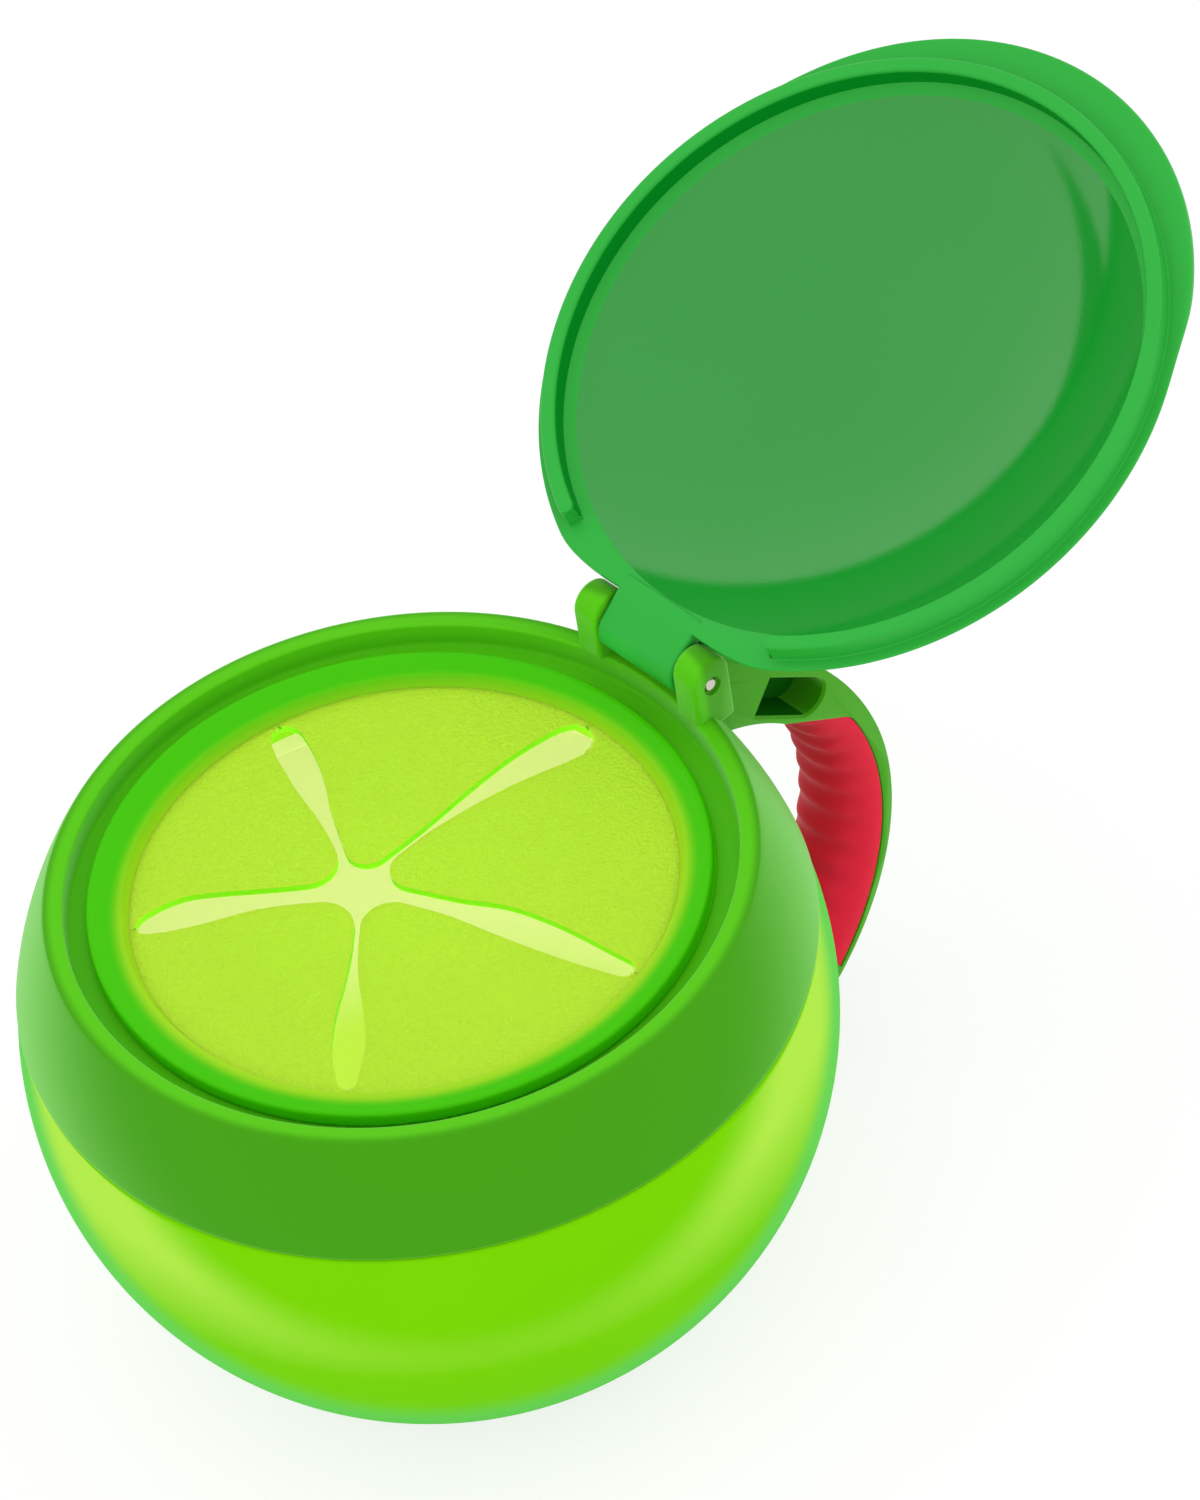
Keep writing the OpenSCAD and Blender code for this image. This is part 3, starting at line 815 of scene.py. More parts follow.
@dataclass
class Bowl:
    """The translucent bowl: ball, flat foot, shoulder, and the threaded neck.

    Attributes:
        layout: The shared sizes.
        wall: Wall of the ball.
        floor_t: Thickness of the floor.
        shoulder_z: Height of the shoulder.
        neck_r: Outer radius of the neck.
        neck_wall: Wall of the neck.
        foot_edge: Rounding of the foot's edge.
        thread_up: Height of the thread's start above the shoulder.
        margin: How far a face's middle may lie off its surface.
        chords: Chords in each arc of the section.
    """

    layout: Layout
    wall: float = 2.2
    floor_t: float = 3.0
    shoulder_z: float = 52.5
    neck_r: float = 40.568
    neck_wall: float = 1.8
    foot_edge: float = 1.0
    thread_up: float = 2.2
    margin: float = 1.0
    chords: int = 72

    def section(self) -> list[Point]:
        """Returns the section from the foot's middle round to the floor's middle."""
        at = self.layout
        inner = at.ball_r - self.wall
        under = self.shoulder_z - self.wall
        outer_arc = at.ball_arc(at.ball_r, 0.0, self.shoulder_z, self.chords)
        inner_arc = at.ball_arc(inner, under, self.floor_t, self.chords)
        return filleted([
            (0.0, 0.0, 0.0),
            (outer_arc[0][0], 0.0, self.foot_edge), *outer_arc[2:-1],
            (outer_arc[-1][0], self.shoulder_z, 0.6),
            (self.neck_r, self.shoulder_z, 0.8),
            (self.neck_r, at.neck_top, 0.5),
            (self.neck_r - self.neck_wall, at.neck_top, 0.5),
            (self.neck_r - self.neck_wall, under, 1.2),
            (inner_arc[0][0], under, 1.0), *inner_arc[2:-3],
            (inner_arc[-1][0], self.floor_t, 3.0),
            (0.0, self.floor_t, 0.0)])

    def is_inside(self, centre: Vector) -> bool:
        """Tells whether a face lies on the bowl's inner side."""
        radius = math.hypot(centre.x, centre.y)
        off = math.hypot(radius, centre.z - self.layout.ball_z)
        in_neck = (centre.z > self.shoulder_z - self.wall - self.margin
                   and radius < self.neck_r - self.margin)
        in_ball = (off < self.layout.ball_r - self.wall / 2
                   and self.floor_t / 2 < centre.z < self.shoulder_z - self.wall / 2)
        return in_neck or in_ball

    def make(self) -> None:
        """Builds the bowl and its thread."""
        piece = dress(as_object(revolved(self.section()), "bowl_shell"), Finish.BOWL)
        piece.data.materials.append(Finish.CHAMBER.build())
        piece.data.polygons.foreach_set("material_index", [
            int(self.is_inside(face.center / MM)) for face in piece.data.polygons])
        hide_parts("bowl")
        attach(piece, "bowl")
        report(piece)
        thread = ScrewThread("neck_thread", self.neck_r, self.shoulder_z + self.thread_up)
        thread.make("bowl", Finish.BOWL)


@dataclass
class Collar:
    """The screw-on collar: outer shell, rim, ledge, threaded skirt and two hinge ears.

    Attributes:
        layout: The shared sizes.
        wall: Wall of the outer shell.
        skirt_r: Inner radius of the skirt.
        skirt_wall: Wall of the skirt.
        skirt_up: Height of the skirt's lower edge above the collar's.
        rim_fillet: Rounding of the rim's outer edge.
        ear_x: Distance of each ear's inner face from the middle.
        ear_t: Thickness of each ear.
        ear_w: Width of each ear, front to back.
        ear_top: Height of each ear above the pin.
        ear_edge: Rounding of each ear's edges.
        ear_sunk: How far each ear reaches into the rim.
        thread_up: Height of the thread's start above the collar's lower edge.
        low_edge: Rounding of the shell's lower edges.
        pin_fit: Gap between the pin and its holes.
        pin_sunk: How far the pin's ends lie below the ears' faces.
        pin_edge: Chamfer of the pin's ends.
        seat_w: Width of the dent round each end of the pin.
        groove_over: How far the cut for the rim's groove passes the rim.
    """

    layout: Layout
    wall: float = 1.8
    skirt_r: float = 41.768
    skirt_wall: float = 1.4
    skirt_up: float = 0.8
    rim_fillet: float = 0.6
    ear_x: float = 6.55
    ear_t: float = 3.75
    ear_w: float = 5.6
    ear_top: float = 4.0
    ear_edge: float = 0.45
    ear_sunk: float = 2.0
    thread_up: float = 2.0
    low_edge: float = 0.45
    pin_fit: float = 0.02
    pin_sunk: float = 0.3
    pin_edge: float = 0.3
    seat_w: float = 0.3
    groove_over: float = 0.02

    def section(self) -> list[Point]:
        """Returns the closed section of the ring."""
        at = self.layout
        shell_r = at.collar_r - self.wall
        skirt_out = self.skirt_r + self.skirt_wall
        meet_z = at.ball_z + math.sqrt(shell_r ** 2 - skirt_out ** 2)
        under = at.ledge_z - at.ledge_t
        low = at.collar_z + self.skirt_up
        outside = at.ball_arc(at.collar_r, at.collar_z, at.rim_z, 40)
        inside = at.ball_arc(shell_r, meet_z, at.collar_z, 12)
        return filleted([
            (*outside[0][:2], self.low_edge), *outside[2:-3],
            (at.rim_r, at.rim_z, self.rim_fillet),
            (at.groove_r, at.rim_z, 0.35), (at.groove_r, at.ledge_z, 0.6),
            (at.mouth_r, at.ledge_z, 0.4), (at.mouth_r, under, 0.3),
            (self.skirt_r, under, 0.6), (self.skirt_r, low, 0.4), (skirt_out, low, 0.4),
            (skirt_out, meet_z, 0.8), *inside[1:-2],
            (*inside[-1][:2], self.low_edge)])

    def ear(self, side: int) -> bmesh.types.BMesh:
        """Returns one round-topped ear, on the side 1 or -1, down into the rim."""
        at = self.layout
        round_r = self.ear_w / 2
        top = at.pin[1] + self.ear_top - round_r
        low = at.rim_z - self.ear_sunk
        outline = ([(at.pin[0] + round_r, low)] + arc((at.pin[0], top), round_r, 0, 180, 32)
                   + [(at.pin[0] - round_r, low)])
        mesh = bevel_corners(extruded(outline, self.ear_t / 2), self.ear_edge)
        return shifted(mesh, Matrix.Translation((side * (self.ear_x + self.ear_t / 2), 0, 0)))

    def make(self) -> None:
        """Builds the collar, its ears, the pin's seats and the skirt's thread."""
        at = self.layout
        piece = as_object(revolved(self.section()), "collar_shell")
        low, high = at.ledge_z - 1, at.rim_z + self.groove_over
        for side in (-1, 1):
            ear = as_object(self.ear(side), "ear")
            groove = revolved([(0.0, low), (at.groove_r, low), (at.groove_r, high), (0.0, high)])
            carve(ear, groove, Cut.REMOVE)
            ready = bmesh.new()
            ready.from_mesh(ear.data)
            bmesh.ops.scale(ready, vec=(1 / MM,) * 3, verts=ready.verts)
            bpy.data.objects.remove(ear)
            carve(piece, ready, Cut.JOIN)
        seat_r, seat_half = at.pin_r + self.seat_w, 0.5
        for radius, half, x in ((at.pin_r + self.pin_fit, at.pin_half + 1, 0.0),
                                (seat_r, seat_half, at.pin_half),
                                (seat_r, seat_half, -at.pin_half)):
            carve(piece, axle(radius, half, at.pin, x), Cut.REMOVE)
        dress(piece, Finish.COLLAR)
        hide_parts("collar")
        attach(piece, "collar")
        report(piece)
        thread = ScrewThread("skirt_thread", self.skirt_r, at.collar_z + self.thread_up)
        thread.make("collar", Finish.COLLAR)

    def make_pin(self) -> None:
        """Builds the metal pin, chamfered and a little below the ears' faces."""
        at = self.layout
        half, edge = at.pin_half - self.pin_sunk, self.pin_edge
        sides = 40
        sections = [[Vector((x, at.pin[0] + y, at.pin[1] + z))
                     for y, z in (polar(radius, 360 * step / sides) for step in range(sides))]
                    for x, radius in ((-half, at.pin_r - edge), (-half + edge, at.pin_r),
                                      (half - edge, at.pin_r), (half, at.pin_r - edge))]
        piece = dress(as_object(loft(sections, ring=False), "pin"), Finish.PIN)
        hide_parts("hinge_pin")
        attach(piece, "collar")
        report(piece)


@dataclass
class Handle:
    """The C-shaped handle arm with its pockets, and the ribbed soft grip inside it.

    Attributes:
        layout: The shared sizes.
        half: Half of the handle's width.
        grip_c: Middle of the grip's inner curve, as (y, z).
        grip_r: Radius of that curve.
        spine_c: Middle of the spine's outer curve.
        spine_r: Radius of the spine's outer curve.
        arm_turn: Angle at which the spine's curve goes over into the arm's.
        arm_r: Radius of the arm's top curve.
        arm_edge: Rounding of the arm's outer edges.
        arm_end: Angle of the arm's lower end about the grip's middle.
        pad_c: Middle of the pad's outer curve.
        pad_r: Radius of the pad's outer curve.
        grip_end: Angle of the pad's lower end.
        pad_slope: Slope of the pad's upper end.
        pad_top: Point of the pad's upper end, as (radius, angle) about the grip's middle.
        pad_fillet: Rounding between the pad's upper end and its outer curve.
        ridge_pitch: Distance between the finger ridges.
        ridge_h: Height of the ridges.
        ridge_w: Width of a ridge.
        stop_out: Distance of the lid's stop from the pin.
        stop_t: Thickness of the stop.
        stop_top: Height of the stop above the pin.
        root_turn: Angle about the grip's middle where the inner curve meets the arm's root.
        root_z: Height of the arm's root.
        small_edge: Rounding of the arm's other edges.
        pad_lead: How far before the pad's upper end its line starts.
        pad_edge: Rounding of the pad's edges.
        pad_skin: Depth of the flat part of the pad's sides.
        pad_flat: How far the pad lies inside the arm's sides.
        pad_margin: Angle that the pad keeps clear of its room's ends.
        chamfer: Chamfer of the pad's back.
        pad_steps: Sections along the pad.
        round_steps: Chords across the pad's round inner side.
        ridge_depth: Depths in the pad between which the ridges fade.
        ridge_side: Width of the ridges' fade at the pad's sides.
        ridge_over: How far the ridges' reach passes the pad's sides.
        ridge_rest: Angle under the pad's upper end that stays without ridges, in degrees.
        ridge_start: Angles before the first ridge where it comes in.
        ridge_stop: Angle after the last ridge where it fades.
        pocket_turn: Angle of the pockets' square end about the grip's middle.
        pocket_tilt: Tilt of the pockets.
        pocket_l: Length of the pockets up to their round end.
        pocket_w: Width of the pockets.
        pocket_wall: Wall between the pockets and the grip's inner curve.
        pocket_depth: Depth of each pocket.
        pocket_flare: How far the pockets' mouths flare.
        pocket_lip: Depth of that flare.
        pocket_margin: How far a face's middle may lie off the pocket's walls.
        lit_side: Direction along the pocket against which its lit round end faces.
        gap: Gap that keeps touching faces apart.
    """

    layout: Layout
    half: float = 6.0
    grip_c: Point = (35.3, 32.1)
    grip_r: float = 26.8
    spine_c: Point = (33.1, 31.1)
    spine_r: float = 36.0
    arm_turn: float = math.degrees(math.atan2(7, 24))
    arm_r: float = 48.0
    arm_edge: float = 1.2
    arm_end: float = -52.0
    pad_c: Point = (33.1, 29.9)
    pad_r: float = 34.4
    grip_end: float = -50.4
    pad_slope: float = -33.0
    pad_top: Point = (28.7, 33.4)
    pad_fillet: float = 4.5
    ridge_pitch: float = 3.9
    ridge_h: float = 0.55
    ridge_w: float = 3.7
    stop_out: float = 3.5
    stop_t: float = 3.4
    stop_top: float = 4.0
    root_turn: float = 84.0
    root_z: float = 60.0
    small_edge: float = 0.35
    pad_lead: float = 6.0
    pad_edge: float = 0.5
    pad_skin: float = 0.6
    pad_flat: float = 0.02
    pad_margin: float = 0.12
    chamfer: float = 0.3
    pad_steps: int = 170
    round_steps: int = 40
    ridge_depth: Point = (1.5, 5.5)
    ridge_side: float = 3.0
    ridge_over: float = 0.4
    ridge_rest: float = 5.0
    ridge_start: Point = (0.05, 0.03)
    ridge_stop: float = 0.03
    pocket_turn: float = 58.4
    pocket_tilt: float = -37.4
    pocket_l: float = 8.6
    pocket_w: float = 5.1
    pocket_wall: float = 1.0
    pocket_depth: float = 4.8
    pocket_flare: float = 0.3
    pocket_lip: float = 0.35
    pocket_margin: float = 0.1
    lit_side: float = -0.35
    gap: float = 0.05

    @property
    def arm_c(self) -> Point:
        """Middle of the arm's top curve."""
        back = polar(self.arm_r - self.spine_r, self.arm_turn)
        return self.spine_c[0] - back[0], self.spine_c[1] - back[1]

    def leave(self, start: Point, degrees: float, centre: Point, radius: float) -> Point:
        """Gives the point where a ray leaves a circle.

        Args:
            start: Start of the ray, in the circle.
            degrees: Direction of the ray.
            centre: Middle of the circle.
            radius: Radius of the circle.

        Returns:
            The point.
        """
        u = Vector(polar(1.0, degrees))
        w = Vector(start) - Vector(centre)
        b = u.dot(w)
        far = math.sqrt(b * b - w.dot(w) + radius * radius) - b
        return tuple(Vector(start) + u * far)

    def leave_late(self, start: Point, way: Vector, centre: Point, radius: float,
                   otherwise: Point) -> Point:
        """Gives the point where a ray from outside leaves a circle.

        Args:
            start: Start of the ray.
            way: Direction of the ray.
            centre: Middle of the circle.
            radius: Radius of the circle.
            otherwise: The point for a ray that misses the circle.

        Returns:
            The point.
        """
        w = Vector(start) - Vector(centre)
        b = way.dot(w)
        inside = b * b - w.dot(w) + radius * radius
        return tuple(Vector(start) + way * (math.sqrt(inside) - b)) if inside > 0 else otherwise

    def turn_of(self, point: Point, centre: Point) -> float:
        """Returns the angle of a point about a centre, in degrees."""
        return math.degrees(math.atan2(point[1] - centre[1], point[0] - centre[0]))

    def pad_line(self, radius: float, centre: Point) -> Point:
        """Returns where the pad's slanting upper end meets a circle on the arm's side."""
        top = Vector(self.grip_c) + Vector(polar(*self.pad_top))
        return self.leave(tuple(top - Vector(polar(self.pad_lead, self.pad_slope))),
                          self.pad_slope, centre, radius)

    def pad_corner(self) -> tuple[Vector, float, float]:
        """Gives the circle that rounds the pad's upper corner.

        Returns:
            Its middle, and the angles where it leaves the slanting end and the outer curve.
        """
        way = Vector(polar(1.0, self.pad_slope))
        below = Vector((way.y, -way.x))
        top = Vector(self.grip_c) + Vector(polar(*self.pad_top))
        start = top - way * self.pad_lead + below * self.pad_fillet
        middle = Vector(self.leave(tuple(start), self.pad_slope, self.pad_c,
                                   self.pad_r - self.pad_fillet))
        return middle, self.pad_slope + 90, self.turn_of(tuple(middle), self.pad_c)

    def arm_outline(self) -> list[Point]:
        """Returns the arm's outline in the plane of Y and Z, without the pad's room."""
        at = self.layout
        tip_in = tuple(Vector(self.grip_c) + Vector(polar(self.grip_r, self.arm_end)))
        tip_out = self.leave(self.grip_c, self.arm_end, self.spine_c, self.spine_r)
        middle = ((tip_in[0] + tip_out[0]) / 2, (tip_in[1] + tip_out[1]) / 2)
        tip_r = math.dist(tip_in, tip_out) / 2
        tip = arc(middle, tip_r, self.arm_end - 180, self.arm_end, 16)
        spine = arc(self.spine_c, self.spine_r, self.turn_of(tip_out, self.spine_c),
                    self.arm_turn, 48)
        stop_in, stop_far = at.pin[0] + self.stop_out, at.pin[0] + self.stop_out + self.stop_t
        far_turn = math.degrees(math.acos((stop_far - self.arm_c[0]) / self.arm_r))
        near_turn = math.degrees(math.acos((stop_in - self.arm_c[0]) / self.arm_r))
        end_turn = math.degrees(math.asin((at.pin[1] - self.arm_c[1]) / self.arm_r))
        arm = arc(self.arm_c, self.arm_r, self.arm_turn, far_turn, 30)
        top = at.pin[1] + self.stop_top
        rest = arc(self.arm_c, self.arm_r, near_turn, end_turn, 4)
        low_in = self.leave(self.grip_c, self.grip_end, self.pad_c, self.pad_r)
        corner_c, corner_from, corner_to = self.pad_corner()
        corner = arc(tuple(corner_c), self.pad_fillet, corner_from, corner_to, 12)
        high_in = self.pad_line(self.grip_r, self.grip_c)
        inner = arc(self.grip_c, self.grip_r, self.root_turn,
                    self.turn_of(high_in, self.grip_c), 24)
        pad = corner + arc(self.pad_c, self.pad_r, corner_to,
                           self.turn_of(low_in, self.pad_c), 48)[1:]
        foot = arc(self.grip_c, self.grip_r, self.grip_end, self.arm_end, 2)
        return (spine[:-1] + arm + [(stop_far, top), (stop_in, top)] + rest
                + [at.pin, (at.pin[0], self.root_z)] + inner + pad + foot
                + tip[1:-1])

    @property
    def pocket_start(self) -> Vector:
        """Middle of the pockets' square end, as (y, z)."""
        return Vector(self.grip_c) + Vector(polar(
            self.grip_r + self.pocket_w / 2 + self.pocket_wall, self.pocket_turn))

    def pocket(self, side: int) -> bmesh.types.BMesh:
        """Returns the solid that cuts the pocket on the side 1 or -1, with a flared mouth."""
        turn = Matrix.Rotation(math.radians(self.pocket_tilt), 2)
        sections = []
        for depth, flare in ((self.pocket_depth, 0.0), (self.pocket_lip, 0.0),
                             (0.0, self.pocket_flare), (-1.0, self.pocket_flare)):
            half = self.pocket_w / 2 + flare
            outline = ([(-flare, half), (-flare, -half)]
                       + arc((self.pocket_l, 0.0), half, -90, 90, 20))
            places = [self.pocket_start + turn @ Vector(point) for point in outline]
            sections.append([Vector((side * (self.half - depth), *place)) for place in places])
        return loft(sections, ring=False)

    def in_pocket(self, centre: Vector, normal: Vector) -> bool:
        """Tells whether a face lies in a pocket's shade: not in its mouth or lit round end."""
        back = Matrix.Rotation(-math.radians(self.pocket_tilt), 2)
        along, across = back @ (Vector((centre.y, centre.z)) - self.pocket_start)
        half = self.pocket_w / 2 + self.pocket_margin
        towards = (back @ Vector((normal.y, normal.z))).x
        return (abs(centre.x) < self.half - self.pocket_lip and abs(across) < half
                and towards > self.lit_side and -self.pocket_margin < along < self.pocket_l + half)

    def make_arm(self, lid: "Lid") -> None:
        """Builds the arm.

        Args:
            lid: The lid, whose open dome leaves its print in the arm's stop.
        """
        at = self.layout
        margin = 1.0
        mesh = extruded(self.arm_outline(), self.half)

        def outer(edge: bmesh.types.BMEdge) -> bool:
            """Tells the edges of the arm's back from the others."""
            start, end = (vert.co for vert in edge.verts)
            middle = (start + end) / 2
            far = math.dist((middle.y, middle.z), self.spine_c) > self.spine_r - margin
            return far and abs(start.x - end.x) < MERGE and middle.z < at.rim_z + margin

        bevel_corners(mesh, self.arm_edge, 4, outer)
        bevel_corners(mesh, self.small_edge, 2)
        piece = as_object(mesh, "handle_arm")
        carve(piece, ball(at.collar_r + self.gap, Vector((0, 0, at.ball_z))), Cut.REMOVE)
        carve(piece, axle(lid.knuckle_r + SIDE_GAP, self.half + margin, at.pin), Cut.REMOVE)
        dome_c = lid.open_place @ Vector((0, 0, lid.dome_z))
        carve(piece, ball(lid.dome_r + SIDE_GAP, dome_c), Cut.REMOVE)
        for side in (-1, 1):
            carve(piece, self.pocket(side), Cut.REMOVE)
        dress(piece, Finish.COLLAR)
        piece.data.materials.append(Finish.POCKET.build())
        piece.data.polygons.foreach_set("material_index", [
            int(self.in_pocket(face.center / MM, face.normal)) for face in piece.data.polygons])
        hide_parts("handle")
        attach(piece, "collar")
        report(piece)

    def ridge_tree(self) -> bpy.types.NodeTree:
        """Builds the Geometry Nodes tree that raises the ridges, and returns it."""
        tree = bpy.data.node_groups.new("finger_ridges", "GeometryNodeTree")
        tree.interface.new_socket("Geometry", in_out="INPUT", socket_type="NodeSocketGeometry")
        labels = ("Centre Y", "Centre Z", "Radius", "Pitch", "Height", "Width", "Reach",
                  "First Turn", "Last Turn")
        for label in labels:
            tree.interface.new_socket(label, in_out="INPUT", socket_type="NodeSocketFloat")
        tree.interface.new_socket("Geometry", in_out="OUTPUT", socket_type="NodeSocketGeometry")
        sizes = add_node(tree, "NodeGroupInput").outputs
        place = add_node(tree, "ShaderNodeSeparateXYZ", inputs={
            0: add_node(tree, "GeometryNodeInputPosition").outputs[0]}).outputs
        known = {**{label: sizes[label] for label in labels}, "X": place["X"]}
        for name, operation, first, second in (
                ("y", "SUBTRACT", place["Y"], "Centre Y"),
                ("z", "SUBTRACT", place["Z"], "Centre Z"),
                ("turn", "ARCTAN2", "z", "y"),
                ("past", "SUBTRACT", "turn", "First Turn"),
                ("along", "MULTIPLY", "past", "Radius"),
                ("half pitch", "MULTIPLY", "Pitch", 0.5),
                ("off", "PINGPONG", "along", "half pitch"),
                ("half width", "MULTIPLY", "Width", 0.5),
                ("full", "ADD", "Radius", self.ridge_depth[0] * MM),
                ("faded", "ADD", "Radius", self.ridge_depth[1] * MM),
                ("aside", "ABSOLUTE", "X", 0.0),
                ("side", "SUBTRACT", "Reach", self.ridge_side * MM),
                ("before", "SUBTRACT", "First Turn", self.ridge_start[0]),
                ("begin", "SUBTRACT", "First Turn", self.ridge_start[1]),
                ("beyond", "ADD", "Last Turn", self.ridge_stop)):
            known[name] = add_node(tree, "ShaderNodeMath", {"operation": operation}, {
                0: known.get(first, first), 1: known.get(second, second)}).outputs[0]
        spoke = add_node(tree, "ShaderNodeCombineXYZ", inputs={"Y": known["y"], "Z": known["z"]})
        known["radius"] = add_node(tree, "ShaderNodeVectorMath", {"operation": "LENGTH"}, {
            0: spoke.outputs[0]}).outputs["Value"]
        known["none"] = 0.0
        rise = sizes["Height"]
        for name, start, end in (("off", "none", "half width"), ("radius", "full", "faded"),
                                 ("aside", "side", "Reach"), ("turn", "begin", "before"),
                                 ("turn", "Last Turn", "beyond")):
            share = add_node(tree, "ShaderNodeMapRange", {"interpolation_type": "SMOOTHSTEP"}, {
                "Value": known[name], "From Min": known[start], "From Max": known[end],
                "To Min": 1.0, "To Max": 0.0})
            rise = add_node(tree, "ShaderNodeMath", {"operation": "MULTIPLY"}, {
                0: rise, 1: share.outputs[0]}).outputs[0]
        inwards = add_node(tree, "ShaderNodeMath", {"operation": "MULTIPLY"}, {0: rise, 1: -1.0})
        outwards = add_node(tree, "ShaderNodeVectorMath", {"operation": "NORMALIZE"},
                            {0: spoke.outputs[0]})
        offset = add_node(tree, "ShaderNodeVectorMath", {"operation": "SCALE"}, {
            0: outwards.outputs[0], "Scale": inwards.outputs[0]})
        raised = add_node(tree, "GeometryNodeSetPosition", inputs={
            "Geometry": sizes["Geometry"], "Offset": offset.outputs[0]})
        real = add_node(tree, "GeometryNodeRealizeInstances", inputs={0: raised.outputs[0]})
        painted = add_node(tree, "GeometryNodeSetMaterial", inputs={
            "Geometry": real.outputs[0], "Material": Finish.GRIP.build()})
        add_node(tree, "NodeGroupOutput", inputs={0: painted.outputs[0]})
        return tree

    def make_grip(self) -> None:
        """Builds the soft grip and raises its finger ridges."""
        inner_top = self.turn_of(self.pad_line(self.grip_r, self.grip_c), self.grip_c)
        outer_low = self.turn_of(self.leave(self.grip_c, self.grip_end, self.pad_c,
                                            self.pad_r - self.gap), self.pad_c)
        outer_top = self.turn_of(self.pad_line(self.pad_r - self.gap, self.pad_c), self.pad_c)
        margin = self.pad_margin
        inner = arc(self.grip_c, self.grip_r, self.grip_end + margin, inner_top - margin,
                    self.pad_steps)
        outer = arc(self.pad_c, self.pad_r - self.gap, outer_low + margin, outer_top - margin,
                    self.pad_steps)
        flat, edge = self.half - self.pad_flat, self.chamfer
        corner_c, corner_from, corner_to = self.pad_corner()
        sections = []
        for near, far in zip(inner, outer):
            start = Vector(near)
            way = (Vector(far) - start).normalized()
            thick = math.dist(near, far)
            left = Vector(self.leave_late(near, way, tuple(corner_c),
                                          self.pad_fillet - self.gap, far))
            if corner_to < self.turn_of(tuple(left), tuple(corner_c)) < corner_from:
                thick = min(thick, (left - start).length)
            across = []
            for step in range(self.round_steps + 1):
                turn = math.pi * step / self.round_steps
                across.append((-flat * math.cos(turn),
                               (thick - self.pad_skin) * (1 - math.sin(turn))))
            across += [(flat, thick - edge), (flat - edge, thick), (-flat + edge, thick),
                       (-flat, thick - edge)]
            sections.append([Vector((x, *(start + way * depth))) for x, depth in across])
        mesh = bevel_corners(loft(sections, ring=False), self.pad_edge)
        piece = as_object(mesh, "soft_grip")
        first_turn = self.grip_end + math.degrees(self.ridge_pitch / self.grip_r)
        apply_tree(piece, self.ridge_tree(), {
            "Centre Y": self.grip_c[0] * MM, "Centre Z": self.grip_c[1] * MM,
            "Radius": self.grip_r * MM, "Pitch": self.ridge_pitch * MM,
            "Height": self.ridge_h * MM, "Width": self.ridge_w * MM,
            "Reach": (self.half + self.ridge_over) * MM,
            "First Turn": math.radians(first_turn),
            "Last Turn": math.radians(inner_top - self.ridge_rest)})
        dress(piece, Finish.GRIP)
        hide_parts("handle_grip")
        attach(piece, "collar")
        report(piece)


